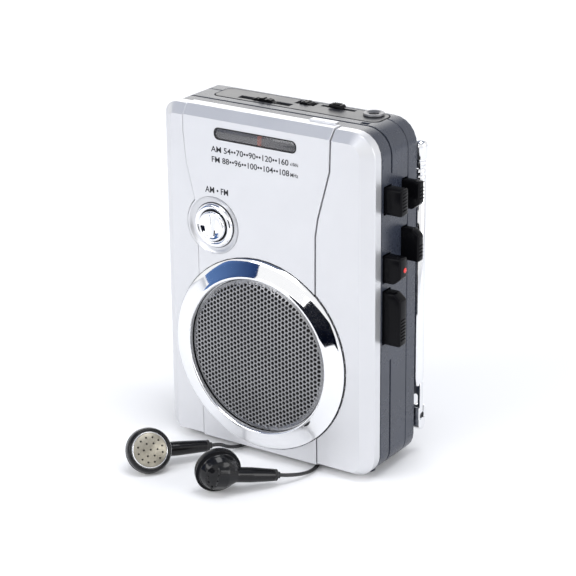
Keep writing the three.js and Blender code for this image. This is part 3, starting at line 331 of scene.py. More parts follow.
def pick(obj, test, what="FACE"):
    """Selects the faces or vertices that a test of their place and normal holds for."""
    edit(obj, what, "DESELECT")
    leave_edit()
    elements = obj.data.polygons if what == "FACE" else obj.data.vertices
    for element in elements:
        place = element.center if what == "FACE" else element.co
        element.select = bool(test(place, element.normal))
    bpy.ops.object.mode_set(mode="EDIT")


def bake_place(obj, place=None):
    """Writes an object's place into its points, after a move to a new place if one is given."""
    if place is not None:
        obj.matrix_world = place
    focus(obj)
    bpy.ops.object.transform_apply(location=True, rotation=True, scale=True)


def apply_modifier(obj, kind, **settings):
    focus(obj)
    modifier = obj.modifiers.new(kind.lower(), kind)
    for key, value in settings.items():
        setattr(modifier, key, value)
    bpy.ops.object.modifier_apply(modifier=modifier.name)


def cut_out(obj, cutter):
    """Takes the cutter's volume out of an object, and does away with the cutter."""
    apply_modifier(obj, "BOOLEAN", object=cutter, operation="DIFFERENCE", solver="EXACT")
    bpy.data.objects.remove(cutter)


def soften(obj, degrees):
    focus(obj)
    bpy.ops.object.shade_smooth_by_angle(angle=math.radians(degrees))


def round_edges(obj, radius_mm, segments, degrees, smooth):
    apply_modifier(
        obj, "BEVEL", width=radius_mm * MM, segments=segments, limit_method="ANGLE",
        angle_limit=math.radians(degrees), use_clamp_overlap=True, miter_outer="MITER_ARC",
    )
    soften(obj, smooth)


def settle(obj, name, material, node=None, slot=None, stands_for=()):
    """Names a finished piece, gives it its finish and fixes it to its body."""
    obj.name = name
    obj.data.name = name
    obj.data.materials.clear()
    obj.data.materials.append(material)
    owner = node or (stands_for[0] if stands_for else None)
    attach(obj, NODE_BODY[owner])
    if stands_for:
        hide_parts(*stands_for)
    return obj


def join(objects):
    deselect()
    for obj in objects:
        obj.select_set(True)
    bpy.context.view_layer.objects.active = objects[0]
    bpy.ops.object.join()
    return bpy.context.view_layer.objects.active


def turned(profile, steps, place=None):
    """Spins a profile of (radius, height) pairs in millimetres about Z, then puts it in place."""
    obj = added(bpy.ops.mesh.primitive_plane_add, size=0.001)
    edit(obj)
    bpy.ops.mesh.merge(type="CENTER")
    spot = Vector((profile[0][0], 0, profile[0][1])) * MM
    bpy.ops.transform.translate(value=spot)
    for radius, height in profile[1:]:
        target = Vector((radius, 0, height)) * MM
        bpy.ops.mesh.extrude_region_move(TRANSFORM_OT_translate={"value": target - spot})
        spot = target
    bpy.ops.mesh.select_all(action="SELECT")
    bpy.ops.mesh.spin(steps=steps, angle=TAU, center=(0, 0, 0), axis=(0, 0, 1))
    bpy.ops.mesh.select_all(action="SELECT")
    bpy.ops.mesh.remove_doubles(threshold=WELD)
    bpy.ops.mesh.normals_make_consistent(inside=False)
    leave_edit()
    if place is not None:
        bake_place(obj, place)
    return obj


def fit_turned(name, paint, profile, steps, place, smooth=None, **owner):
    """A turned piece with its finish, smoothed over edges below an angle in degrees."""
    obj = turned(profile, steps, place)
    if smooth:
        soften(obj, smooth)
    return settle(obj, name, paint, **owner)


def facing_front(x, y, z):
    """A place whose own Z axis points out of the player's front."""
    return Matrix.Translation(at(x, y, z)) @ Matrix.Rotation(math.pi / 2, 4, "X")


def facing_up(x, y, z):
    return Matrix.Translation(at(x, y, z))


ALONG_X = Matrix.Rotation(math.pi / 2, 4, "Y")


def block(size, place=(0, 0, 0), turn=0.0):
    """A cube stretched to a size in millimetres, and turned about Z by an angle in degrees."""
    obj = added(bpy.ops.mesh.primitive_cube_add, size=1)
    obj.scale = Vector(size) * MM
    obj.rotation_euler.z = math.radians(turn)
    obj.location = place
    bake_place(obj)
    return obj


def bevel_all(obj, radius_mm, segments):
    edit(obj, "EDGE")
    bpy.ops.mesh.bevel(offset=radius_mm * MM, segments=segments, affect="EDGES")
    leave_edit()


def cuboid(x0, x1, y0, y1, z0, z1, radius_mm=0.0, segments=2):
    """A block between limits in millimetres of the player's drawing, with its edges rounded."""
    obj = block((x1 - x0, y1 - y0, z1 - z0), at((x0 + x1) / 2, (y0 + y1) / 2, (z0 + z1) / 2))
    if radius_mm:
        bevel_all(obj, radius_mm, segments)
        soften(obj, 40)
    return obj


def disc(radius, thickness, steps, place):
    """A turned button whose rim is rounded over."""
    rim = 0.1
    return turned([
        (0, 0), (radius, 0), (radius, thickness - rim), (radius - rim * 0.3, thickness - rim * 0.3),
        (radius - rim, thickness), (0, thickness),
    ], steps, place)


def carved(node, radius_mm, smooth):
    """A copy of a CAD solid with its seams merged and its sharp edges rounded.

    The rear cover's back is a frame round a wide opening, so its flats stay in four-sided pieces."""
    source = frame["nodes"][node]
    obj = source.copy()
    obj.data = source.data.copy()
    for key in list(obj.keys()):
        del obj[key]
    obj.parent = None
    bpy.context.scene.collection.objects.link(obj)
    edit(obj)
    bpy.ops.mesh.remove_doubles(threshold=WELD)
    if node == "rear_cover":
        bpy.ops.mesh.tris_convert_to_quads(face_threshold=math.radians(0.8), shape_threshold=math.pi)
    else:
        bpy.ops.mesh.dissolve_limited(angle_limit=math.radians(0.8))
    leave_edit()
    apply_modifier(
        obj, "BEVEL", width=radius_mm * MM, segments=2, limit_method="ANGLE",
        angle_limit=math.radians(38), use_clamp_overlap=False,
    )
    soften(obj, smooth)
    apply_modifier(obj, "WEIGHTED_NORMAL", keep_sharp=True, weight=50)
    return obj


# ---------------------------------------------------------------- earphone leads

LEAD_DIAMETER = 1.4
LEAD_Z = LEAD_DIAMETER / 2 + 0.1
COIL_CENTRE = Vector((-43, 53, 0))
COIL_RADII = (9.75, 8.3, 6.85)
COIL_PITCH = 1.45


def around_coil(radius, degrees, z):
    angle = math.radians(degrees)
    return COIL_CENTRE + Vector((radius * math.cos(angle), radius * math.sin(angle), z))


def winding(first_layer, layers, start, stop):
    """Clockwise turns, out and in by turns, from one angle to another in degrees."""
    order = []
    for layer in range(layers):
        radii = COIL_RADII if layer % 2 == 0 else COIL_RADII[::-1]
        order += [(radius, LEAD_Z + COIL_PITCH * (first_layer + layer)) for radius in radii]
    points = []
    per_turn = 18
    change = 4
    last = len(order) - 1
    for turn, (radius, z) in enumerate(order):
        following = order[min(turn + 1, last)]
        steps = per_turn if turn < last else round(per_turn * (start - stop) / 360)
        for step in range(steps):
            share = max(0, step - (per_turn - change)) / change if turn < last else 0
            share = share * share * (3 - 2 * share)
            at_radius = radius + (following[0] - radius) * share
            at_z = z + (following[1] - z) * share
            points.append(around_coil(at_radius, start - 360 * step / per_turn, at_z))
    return points


def smooth_route(points):
    """A curve through every point, with a few points more in each span."""
    per_span = 5
    out = []
    points = [Vector(point) for point in points]
    padded = [points[0] * 2 - points[1], *points, points[-1] * 2 - points[-2]]
    for i in range(1, len(padded) - 2):
        p0, p1, p2, p3 = padded[i - 1:i + 3]
        for step in range(per_span):
            t = step / per_span
            out.append(
                (p1 * 2 + (p2 - p0) * t + (p0 * 2 - p1 * 5 + p2 * 4 - p3) * t * t
                 + (p1 * 3 - p0 - p2 * 3 + p3) * t ** 3) / 2
            )
    return [*out, points[-1]]


def lay_lead(name, points, stands_for):
    curve = bpy.data.curves.new(name, "CURVE")
    curve.dimensions = "3D"
    curve.bevel_depth = LEAD_DIAMETER / 2 * MM
    curve.bevel_resolution = 3
    curve.use_fill_caps = True
    spline = curve.splines.new("POLY")
    spline.points.add(len(points) - 1)
    for spot, point in zip(spline.points, points):
        spot.co = (*on_floor(*point), 1)
    spline.use_smooth = True
    obj = bpy.data.objects.new(name, curve)
    bpy.context.scene.collection.objects.link(obj)
    obj.visible_glossy = False
    return settle(obj, name, lead_vinyl, stands_for=stands_for)


def bud_matrix(centre, facing, stem_way):
    z_axis = Vector(facing).normalized()
    stem_axis = Vector(stem_way).normalized()
    x_axis = (stem_axis - z_axis * stem_axis.dot(z_axis)).normalized()
    y_axis = z_axis.cross(x_axis)
    turn = Matrix((x_axis, y_axis, z_axis)).transposed().to_4x4()
    return Matrix.Translation(on_floor(*centre)) @ turn


STEM_DROP = -3.2
BUDS = {
    "left": {"centre": (-31.1, -32.1, 7.95), "facing": (0.71, -0.53, 0.47), "way": (0.61, 0.78, -0.06),
             "stem": 24},
    "right": {"centre": (0.8, -33, 8.6), "facing": (-0.78, 0.6, 0.14), "way": (0.58, 0.79, -0.18),
              "stem": 22},
}


def stem_tip(side):
    """The end of a bud's stem in the earphones' drawing, and the way that the lead leaves it."""
    bud = BUDS[side]
    place = bud_matrix(bud["centre"], bud["facing"], bud["way"])
    tip = place @ (Vector((bud["stem"] + 1.2, 0, STEM_DROP)) * MM)
    return tip / MM - FLOOR_SHIFT, Vector(bud["way"]).normalized()


left_tip, left_way = stem_tip("left")
right_tip, right_way = stem_tip("right")
SPLITTER_ANGLE = 100
SPLITTER_WAY = Vector((math.sin(math.radians(SPLITTER_ANGLE)), -math.cos(math.radians(SPLITTER_ANGLE)), 0))
SPLITTER_MIDDLE = around_coil(12.85, SPLITTER_ANGLE, 2.15)
splitter_start = SPLITTER_MIDDLE - SPLITTER_WAY * 5
splitter_end = SPLITTER_MIDDLE + SPLITTER_WAY * 5

left_route = smooth_route([
    left_tip - left_way * 0.6, left_tip + left_way * 3,
    (-14.4, -4.4, LEAD_Z + 2), (-13.4, 1.6, LEAD_Z + 0.3), (-11.6, 9.6, LEAD_Z),
    (-10.5, 18, LEAD_Z), (-14, 27, LEAD_Z), (-21, 35, LEAD_Z),
    (-29, 40.4, LEAD_Z), (-36.5, 42.4, LEAD_Z),
    *winding(0, 2, -95, -190)[::3],
    around_coil(10.4, 167, 2.2), around_coil(12.2, 148, 2.0), around_coil(13.6, 134, 1.6),
    splitter_start - SPLITTER_WAY * 1.5 + Vector((0, 0, -0.75)),
    splitter_start + SPLITTER_WAY * 0.8 + Vector((0, 0, -0.75)),
])
right_route = smooth_route([
    right_tip - right_way * 0.6, right_tip + right_way * 3,
    (20.6, -8.4, LEAD_Z + 1.3), (21, -1.6, LEAD_Z + 0.2),
    (19.7, 4.6, LEAD_Z), (16.6, 11, LEAD_Z),
    (9, 20, LEAD_Z), (-2, 28, LEAD_Z), (-12, 34.5, LEAD_Z),
    (-20.5, 39.4, LEAD_Z), (-27.5, 43, LEAD_Z), (-31.2, 44.4, LEAD_Z + 0.2),
    (-34.8, 45.3, LEAD_Z + 1.9),
    *winding(2, 2, -73, -190)[::3],
    around_coil(10.5, 165, 5.0), around_coil(12.4, 147, 4.3), around_coil(13.8, 133, 3.4),
    splitter_start - SPLITTER_WAY * 1.5 + Vector((0, 0, 0.75)),
    splitter_start + SPLITTER_WAY * 0.8 + Vector((0, 0, 0.75)),
])
main_route = smooth_route([
    splitter_end - SPLITTER_WAY * 0.8, splitter_end + SPLITTER_WAY * 1.5,
    around_coil(13.6, 58, 3.0), around_coil(12.9, 36, 4.3), around_coil(12.2, 14, 5.6),
    around_coil(11.2, -8, 6.4),
    *winding(4, 4, -32, -155)[::3],
    (-54.4, 57.6, 9.6), (-55.6, 62, 7), (-55, 67, 4.6), (-51, 71.6, 3.3),
    (-45, 73.6, 3.05), (-40, 73.8, 3.05), (-35.5, 73.8, 3.05),
])
left_lead = lay_lead("left_earphone_lead", left_route, ("left_lead",))
right_lead = lay_lead("right_earphone_lead", right_route, ("right_lead",))
main_lead = lay_lead("joined_earphone_lead", main_route, ("main_lead", "lead_coil"))

# ---------------------------------------------------------------- splitter and plug


def along(way, start):
    """A place whose own Z axis runs one way from a point of the earphones' drawing."""
    turn = Vector(way).to_track_quat("Z", "Y").to_matrix().to_4x4()
    return Matrix.Translation(on_floor(*start)) @ turn


splitter = fit_turned("lead_splitter_moulded", dull_rubber, [
    (0, 0), (1.7, 0), (2.0, 0.3), (2.1, 0.9), (2.1, 6.6), (1.9, 7.4), (1.5, 8.2), (1.4, 8.5), (1.1, 8.6),
    (1.35, 8.8), (1.35, 9.2), (1.05, 9.3), (1.2, 9.5), (1.2, 9.9), (0, 9.9),
], 32, along(SPLITTER_WAY, splitter_start), 40, stands_for=("lead_splitter",))

PLUG_START = Vector((-36, 73.8, 3.05))
plug_profile = [(0, 0), (1.1, 0), (1.25, 0.5)]
for rib in range(4):
    low = 0.9 + 1.1 * rib
    wide = 1.45 + 0.15 * rib
    plug_profile += [(wide, low), (wide, low + 0.6), (wide - 0.35, low + 0.7), (wide - 0.35, low + 1.0)]
plug_profile += [(2.6, 5.4), (2.95, 5.8), (3.0, 6.4), (3.0, 12), (2.85, 12.2), (2.85, 12.7), (3.0, 12.9),
                 (3.0, 18.6), (2.8, 19.6), (2.3, 20), (0, 20)]
plug_place = along((1, 0, 0), PLUG_START)
plug_grip = fit_turned("plug_grip", dull_rubber, plug_profile, 40, plug_place, 40, stands_for=("plug",))
contact = fit_turned("plug_contact", bright_chrome, [
    (0, 19.9), (2.3, 19.9), (2.3, 20.6), (1.75, 20.8), (1.75, 25), (1.66, 25.1), (1.66, 25.6),
    (1.75, 25.7), (1.75, 28.2), (1.66, 28.3), (1.66, 28.8), (1.75, 28.9), (1.75, 30.9), (1.2, 31.9),
    (1.5, 32.6), (1.2, 33.4), (0.5, 34.1), (0, 34.15),
], 32, plug_place, 40, node="plug", slot="chrome_plate")
plug_bands = join([
    turned([(1.6, low), (1.72, low + 0.05), (1.72, low + 0.45), (1.6, low + 0.5)], 32, plug_place)
    for low in (25.1, 28.3)
])
settle(plug_bands, "plug_insulating_bands", black_and_painted_shade, node="plug", slot="black_plastic")

# ---------------------------------------------------------------- floor and light

floor = added(bpy.ops.mesh.primitive_plane_add, size=8)
floor.name = "floor"
floor_paint = bpy.data.materials.new("floor_paint")
floor_paint.use_nodes = True
floor_shader = floor_paint.node_tree.nodes["Principled BSDF"]
floor_shader.inputs["Base Color"].default_value = (0.93, 0.93, 0.935, 1)
floor_shader.inputs["Roughness"].default_value = 0.9
floor_shader.inputs["Specular IOR Level"].default_value = 0.1
floor.data.materials.append(floor_paint)

world = bpy.data.worlds.new("studio")
bpy.context.scene.world = world
world.use_nodes = True
world_tree = world.node_tree
sky_way = node_in(world_tree, "ShaderNodeTexCoord").outputs["Generated"]
sky_split = node_in(world_tree, "ShaderNodeSeparateXYZ")
world_tree.links.new(sky_way, sky_split.inputs["Vector"])
sky_ramp = node_in(world_tree, "ShaderNodeValToRGB")
sky_ramp.color_ramp.elements[0].position = 0.45
sky_ramp.color_ramp.elements[0].color = (1, 1, 1, 1)
sky_ramp.color_ramp.elements[1].position = 0.85
sky_ramp.color_ramp.elements[1].color = (0.30, 0.335, 0.42, 1)
world_tree.links.new(sky_split.outputs["Z"], sky_ramp.inputs["Fac"])
world_tree.links.new(sky_ramp.outputs["Color"], world_tree.nodes["Background"].inputs["Color"])
world_tree.nodes["Background"].inputs["Strength"].default_value = 1.05
bpy.context.scene.view_settings.view_transform = "Standard"


def softbox(name, place, target, width, height, power, colour=(1, 1, 1)):
    """A soft rectangular light, out of the camera's sight."""
    data = bpy.data.lights.new(name, "AREA")
    data.shape = "RECTANGLE"
    data.size = width
    data.size_y = height
    data.energy = power
    data.color = colour
    lamp = bpy.data.objects.new(name, data)
    bpy.context.scene.collection.objects.link(lamp)
    lamp.location = place
    lamp.visible_camera = False
    lamp.rotation_euler = (Vector(target) - Vector(place)).to_track_quat("-Z", "Y").to_euler()


softbox("front_box", (-0.5, -1.3, 0.9), (0, 0, 0.06), 1.0, 0.8, 9)
softbox("top_box", (0.3, -0.1, 1.5), (0, 0, 0.08), 0.7, 0.7, 8)
softbox("rear_box", (-0.75, 1.1, 0.62), (0, 0, 0.12), 1.3, 0.7, 4, (1, 0.985, 0.96))
softbox("side_box", (1.3, 0.1, 0.5), (0, 0, 0.07), 0.7, 0.7, 5)
softbox("low_box", (-0.2, -1.2, 0.12), (0, 0, 0.02), 0.9, 0.2, 1.6)


def flag(name, target, way, distance, width, height, colour, far_colour):
    """A dark card that only reflections see, shaded from one edge to the other."""
    place = target + Vector(way) * distance
    card = added(bpy.ops.mesh.primitive_plane_add, size=1)
    card.name = name
    card.scale = (width, height, 1)
    card.rotation_euler = (target - place).to_track_quat("Z", "Y").to_euler()
    card.location = place
    paint = bpy.data.materials.new(name + "_paint")
    paint.use_nodes = True
    tree = paint.node_tree
    shader = tree.nodes["Principled BSDF"]
    side = node_in(tree, "ShaderNodeSeparateXYZ")
    where = node_in(tree, "ShaderNodeTexCoord").outputs["Object"]
    tree.links.new(where, side.inputs["Vector"])
    ramp = node_in(tree, "ShaderNodeValToRGB")
    from_edge = node_in(tree, "ShaderNodeMath", operation="ADD")
    from_edge.inputs[1].default_value = 0.5
    tree.links.new(side.outputs["X"], from_edge.inputs[0])
    tree.links.new(from_edge.outputs["Value"], ramp.inputs["Fac"])
    ramp.color_ramp.elements[0].color = (*colour, 1)
    ramp.color_ramp.elements[1].color = (*far_colour, 1)
    tree.links.new(ramp.outputs["Color"], shader.inputs["Base Color"])
    shader.inputs["Roughness"].default_value = 0.8
    shader.inputs["Specular IOR Level"].default_value = 0.0
    card.data.materials.append(paint)
    card.visible_camera = False
    card.visible_diffuse = False
    card.visible_shadow = False
    card.visible_transmission = False


speaker_middle = at(-2.7, -1, 39.6)
SOFT_BLUE = (0.13, 0.16, 0.24)
flag("blue_flag", speaker_middle, (-0.71, -0.69, 0.16), 0.7, 0.34, 0.34,
     (0.012, 0.03, 0.10), (0.09, 0.17, 0.36))
flag("black_flag", speaker_middle, (0.08, -0.99, -0.18), 0.3, 0.22, 0.24,
     (0.0, 0.0, 0.001), (0.002, 0.004, 0.012))
flag("zenith_flag", at(0, 1.5, 128), (-0.54, -0.48, 0.69), 0.6, 0.6, 0.4, SOFT_BLUE, SOFT_BLUE)

# ---------------------------------------------------------------- the case

for node_name, radius_mm, paint, smooth in (
    ("front_frame", 0.3, silver_paint, 18), ("centre_panel", 0.18, silver_paint, 18),
    ("main_housing", 0.22, housing_plastic, 35), ("rear_cover", 0.3, housing_plastic, 35),
    ("top_plate", 0.15, plate_plastic, 35), ("cassette_door", 0.22, housing_plastic, 35),
    ("battery_door", 0.2, housing_plastic, 35), ("function_slider", 0.25, key_gloss, 35),
    ("volume_wheel", 0.1, key_gloss, 35), ("tuning_wheel", 0.12, key_gloss, 35),
    ("aerial_base", 0.25, mast_chrome, 35),
):
    settle(carved(node_name, radius_mm, smooth), node_name + "_moulded", paint, stands_for=(node_name,))

# ---------------------------------------------------------------- speaker

SPEAKER = (-2.7, 0, 39.6)
fit_turned("speaker_ring_turned", bright_chrome, [
    (29.7, 0.2), (37, 0.2), (37, 0.75), (36.6, 1.05), (35.4, 1.5), (33.6, 2.1), (31.9, 2.75),
    (30.9, 3.1), (30.35, 3.2), (29.95, 3.05), (29.7, 2.6), (29.7, 0.2),
], 160, facing_front(*SPEAKER), 45, stands_for=("speaker_ring",))

# A thin black ring just outside the speaker ring's edge: a painted shadow line along it.
fit_turned("speaker_ring_painted_edge_shadow", black_and_painted_shade, [
    (36.9, -0.12), (37.28, -0.12), (37.28, 0.14), (36.9, 0.14), (36.9, -0.12),
], 120, facing_front(*SPEAKER), node="speaker_ring", slot="black_plastic")

HOLE_PITCH = 1.75
HOLE_RADIUS = 0.7
ROW_PITCH = HOLE_PITCH * math.cos(math.pi / 6)
GRILLE_RADIUS = 28.9


def pierced_tile():
    """One hexagon of sheet with a round hole, flat in X and Y."""
    tile = added(bpy.ops.mesh.primitive_circle_add, vertices=12, radius=HOLE_RADIUS * MM)
    edit(tile)
    bpy.ops.mesh.extrude_region_move()
    grow = HOLE_PITCH / math.sqrt(3) / HOLE_RADIUS
    bpy.ops.transform.resize(value=(grow, grow, 1))
    leave_edit()
    flat_side = math.cos(math.pi / 6)
    centres = [v.index for v in tile.data.vertices
               if v.co.length > HOLE_RADIUS * MM * 1.2
               and round(math.degrees(math.atan2(v.co.y, v.co.x))) % 60 == 30]
    edit(tile, "VERT", "DESELECT")
    leave_edit()
    for index in centres:
        tile.data.vertices[index].select = True
    bpy.ops.object.mode_set(mode="EDIT")
    bpy.ops.transform.resize(value=(flat_side, flat_side, 1))
    leave_edit()
    return tile


def pierced_sheet(radius, rows_half, columns_half):
    """A flat round sheet of holes in staggered rows, cut back to a radius."""
    first = pierced_tile()
    second = pierced_tile()
    focus(second)
    bpy.ops.transform.translate(value=(ROW_PITCH * MM, HOLE_PITCH / 2 * MM, 0))
    bake_place(second)
    sheet = join([first, second])
    for axis, count, pitch in ((0, columns_half, 2 * ROW_PITCH), (1, rows_half, HOLE_PITCH)):
        step = [0, 0, 0]
        step[axis] = pitch * MM
        apply_modifier(
            sheet, "ARRAY", count=2 * count + 1, use_relative_offset=False,
            use_constant_offset=True, constant_offset_displace=step,
        )
        focus(sheet)
        move = [0, 0, 0]
        move[axis] = -pitch * count * MM
        bpy.ops.transform.translate(value=move)
        bake_place(sheet)
    edit(sheet)
    bpy.ops.mesh.remove_doubles(threshold=2e-5)
    leave_edit()
    pick(sheet, lambda place, normal: place.length > radius * MM)
    bpy.ops.mesh.delete(type="FACE")
    leave_edit()
    return sheet


def dish(obj, radius, depth, edge, edge_depth):
    """Bows a flat sheet: high in the middle, falling away in a short curve at the edge."""
    focus(obj)
    for vertex in obj.data.vertices:
        far = math.hypot(vertex.co.x, vertex.co.y) / (radius * MM)
        fall = max(0, (far - (1 - edge)) / edge)
        vertex.co.z += depth * MM * (1 - far * far) - edge_depth * MM * fall * fall


grille = pierced_sheet(GRILLE_RADIUS - 0.4, 17, 10)
dish(grille, GRILLE_RADIUS, 0.7, 0.09, 1.3)
apply_modifier(grille, "SOLIDIFY", thickness=0.45 * MM, offset=-1)
grille_rim = turned([
    (GRILLE_RADIUS - 1.2, -0.75), (GRILLE_RADIUS + 0.15, -1.35), (GRILLE_RADIUS + 0.2, -1.6),
    (GRILLE_RADIUS - 0.3, -1.75), (GRILLE_RADIUS - 1.3, -1.3), (GRILLE_RADIUS - 1.2, -0.75),
], 120)
grille = join([grille, grille_rim])
bake_place(grille, facing_front(SPEAKER[0], -2.35, SPEAKER[2]))
soften(grille, 35)
settle(grille, "speaker_grille_pierced", grille_metal, stands_for=("speaker_grille",))
cloth = disc(29.3, 0.3, 64, facing_front(SPEAKER[0], 0.1, SPEAKER[2]))
settle(cloth, "speaker_dust_cloth", black_and_painted_shade, node="speaker_grille", slot="paper_cone")

# ---------------------------------------------------------------- band knob

KNOB = (-22.1, 0, 86.4)
# The dish is given the darker silver: painted shade in the recess.
fit_turned("band_knob_dish", shaded_silver_paint, [
    (8.5, -0.15), (9.4, -0.1), (10.2, 0.1), (10.7, 0.4), (10.88, 0.52), (10.88, -0.18), (8.5, -0.18),
    (8.5, -0.15),
], 96, facing_front(*KNOB), 60, node="centre_panel")
fit_turned("band_knob_ring_turned", bright_chrome, [
    (6.1, 0.12), (8.4, 0.12), (8.4, 0.5), (8.2, 0.8), (7.8, 1.15), (7.2, 1.3), (6.6, 1.2), (6.25, 0.9),
    (6.1, 0.6), (6.1, 0.12),
], 96, facing_front(*KNOB), 60, stands_for=("band_knob_ring",))
# A black disc under the knob's ring and cap, so that the gaps round the ring show painted shade.
fit_turned("band_knob_ring_painted_shadow", black_and_painted_shade, [
    (5.4, -0.16), (8.68, -0.16), (8.68, -0.03), (5.4, -0.03), (5.4, -0.16),
], 96, facing_front(*KNOB), node="centre_panel", slot="black_plastic")
knob_cap = turned([
    (0, 1.5), (1.6, 1.52), (3.2, 1.65), (4.2, 1.95), (4.7, 2.2), (5.1, 2.28), (5.45, 2.1), (5.6, 1.7),
    (5.6, 0.15), (0, 0.15),
], 96)
soften(knob_cap, 60)
grip = block((1.7, 9.3, 1.6), (0, 0, 2.0 * MM))
pick(grip, lambda place, normal: normal.z > 0.9)
bpy.ops.transform.resize(value=(0.45, 0.9, 1))
leave_edit()
bevel_all(grip, 0.22, 3)
soften(grip, 50)
knob = join([knob_cap, grip])
bake_place(knob, facing_front(*KNOB))
settle(knob, "band_knob_turned", bright_chrome, stands_for=("band_knob",))

# ---------------------------------------------------------------- dial

DIAL_Z = 121.65
DIAL_LEFT, DIAL_RIGHT = -20.8, 14.0


def capsule(x0, x1, z0, z1, y0, y1, radius_mm, rim=0.0):
    """A block whose four corners, seen from the front, are rounded."""
    obj = cuboid(x0, x1, y0, y1, z0, z1)
    edit(obj, "EDGE", "DESELECT")
    leave_edit()
    for edge in obj.data.edges:
        a, b = (obj.data.vertices[i].co for i in edge.vertices)
        edge.select = abs(a.y - b.y) > 1e-5
    bpy.ops.object.mode_set(mode="EDIT")
    bpy.ops.mesh.bevel(offset=radius_mm * MM, segments=8, affect="EDGES")
    leave_edit()
    if rim:
        round_edges(obj, rim, 2, 50, 40)
    return obj


def dial_capsule(margin, y0, y1, radius_mm, rim=0.0):
    """A capsule of the dial window's outline, grown by a margin all round."""
    half = 1.95 + margin
    return capsule(DIAL_LEFT - margin, DIAL_RIGHT + margin, DIAL_Z - half, DIAL_Z + half,
                   y0, y1, radius_mm, rim)


window = dial_capsule(0, -0.15, 1.2, 1.75, 0.12)
settle(window, "dial_window_clear", smoked_window, stands_for=("dial_window",))
dial_surround = dial_capsule(0.35, -0.46, 0.7, 2.0)
cut_out(dial_surround, dial_capsule(0.02, -2, 3, 1.76))
soften(dial_surround, 40)
settle(dial_surround, "dial_surround", black_and_painted_shade, node="centre_panel", slot="black_plastic")
dial_plate = cuboid(-21.6, 14.8, 3.55, 3.85, DIAL_Z - 2.6, DIAL_Z + 2.6, 0.1, 1)
dial_paint = finish("dial_paint", (0.30, 0.30, 0.32), 0.5, 0, 0.05, 2500, 0.1, darkest=0.85)
settle(dial_plate, "dial_plate", dial_paint, node="front_frame", slot="dark_plastic")
ticks = []
for step in range(24):
    tick_x = -19.4 + 1.38 * step
    high = 0.9 if step % 4 == 0 else 0.5
    ticks.append(cuboid(tick_x, tick_x + 0.16, 3.47, 3.6, DIAL_Z + 0.2, DIAL_Z + 0.2 + high, 0.03, 1))
dial_ticks = join(ticks)
settle(dial_ticks, "dial_ticks", white_nylon, node="front_frame", slot="white_plastic")

PANEL_FACE = -0.4
AM_LINE = 114.6
FM_LINE = 110.7
CAP_SHARE = 0.7
INK_HEIGHT = 0.02


def lettering(name, words, x, z, cap_height, width):
    """Flat printed letters on the front, stretched to a width in millimetres."""
    text = added(bpy.ops.object.text_add)
    text.data.body = words
    text.data.size = cap_height / CAP_SHARE * MM
    text.data.offset = 0.02 * cap_height * MM
    text.data.extrude = INK_HEIGHT * MM
    text.data.resolution_u = 4
    bpy.ops.object.convert(target="MESH")
    letters = bpy.context.object
    drawn = max(v.co.x for v in letters.data.vertices) - min(v.co.x for v in letters.data.vertices)
    letters.scale.x = width * MM / drawn
    bake_place(letters)
    bake_place(letters, facing_front(x, PANEL_FACE - 0.015, z))
    settle(letters, name, print_ink, node="centre_panel", slot="black_plastic")


lettering("band_letters", "AM • FM", -25.5, 98.8, 2.3, 10.2)
lettering("dial_numbers_am", "AM 54••70••90••120••160", -22.5, AM_LINE, 2.15, 33.6)
lettering("dial_numbers_fm", "FM 88••96••100••104••108", -22.5, FM_LINE, 2.15, 33.6)
lettering("dial_unit_am", "x10kHz", 11.7, AM_LINE + 0.2, 1.2, 3.5)
lettering("dial_unit_fm", "MHz", 11.7, FM_LINE, 1.4, 3.3)

# ---------------------------------------------------------------- keys

KEY_END = 52


def key_cap(y0, y1, z0, z1, low, high):
    """A push key: a block whose outer end is cut back at its lower or upper corner."""
    cap = cuboid(39.8, KEY_END, y0, y1, z0, z1)
    edit(cap)
    for amount, cut_z in ((low, z0 + low * 0.6 + 0.6), (high, z1 - high * 0.6 - 0.6)):
        if amount:
            bpy.ops.mesh.select_all(action="SELECT")
            bpy.ops.mesh.bisect(plane_co=at(0, 0, cut_z), plane_no=(0, 0, 1))
    leave_edit()
    outer_x = at(KEY_END, 0, 0).x - WELD
    for amount, end_z in ((low, z0), (high, z1)):
        if amount:
            edge_z = at(0, 0, end_z).z
            pick(cap, lambda place, normal: place.x > outer_x and abs(place.z - edge_z) < WELD, "VERT")
            bpy.ops.transform.translate(value=(-amount * MM, 0, 0))
            leave_edit()
    round_edges(cap, 0.75, 4, 20, 45)
    return cap


KEYS = {
    "key_stop_eject": (8.8, 13.7, 99.8, 109.6, 0, 0), "key_fast_forward": (20.9, 24.6, 98.9, 109.5, 3, 0),
    "key_rewind": (20.9, 24.6, 79.5, 91.5, 0, 2.5), "key_record": (8.3, 13.3, 74.4, 84.4, 3, 0),
    "key_play": (8.3, 13.3, 51, 71, 0, 3),
}
for key_name, (y0, y1, z0, z1, low, high) in KEYS.items():
    settle(key_cap(y0, y1, z0, z1, low, high), key_name + "_cap", key_gloss, stands_for=(key_name,))

red_dot = disc(0.95, 0.22, 24, Matrix.Translation(at(KEY_END - 0.05, 11.6, 79.6)) @ ALONG_X)
soften(red_dot, 50)
settle(red_dot, "key_record_dot", record_red, node="key_record", slot="red_plastic")


def ribs(name, node, y0, y1, lowest, pitch, count):
    """Small ribs across a key's outer end."""
    height = 0.45
    proud = 0.28
    lows = [lowest + pitch * number for number in range(count)]
    made = [cuboid(KEY_END - 0.3, KEY_END + proud, y0, y1, low, low + height, 0.12, 2) for low in lows]
    settle(join(made), name, key_gloss, node=node)


ribs("key_play_ribs", "key_play", 9.4, 12.3, 53.2, 1.25, 7)
ribs("key_stop_ribs", "key_stop_eject", 9.9, 12.6, 101.6, 1.25, 6)
ribs("key_fast_forward_ribs", "key_fast_forward", 21.7, 23.9, 103.0, 1.3, 4)
ribs("key_rewind_ribs", "key_rewind", 21.7, 23.9, 81.4, 1.3, 4)

SIDE_FACE = 44.98


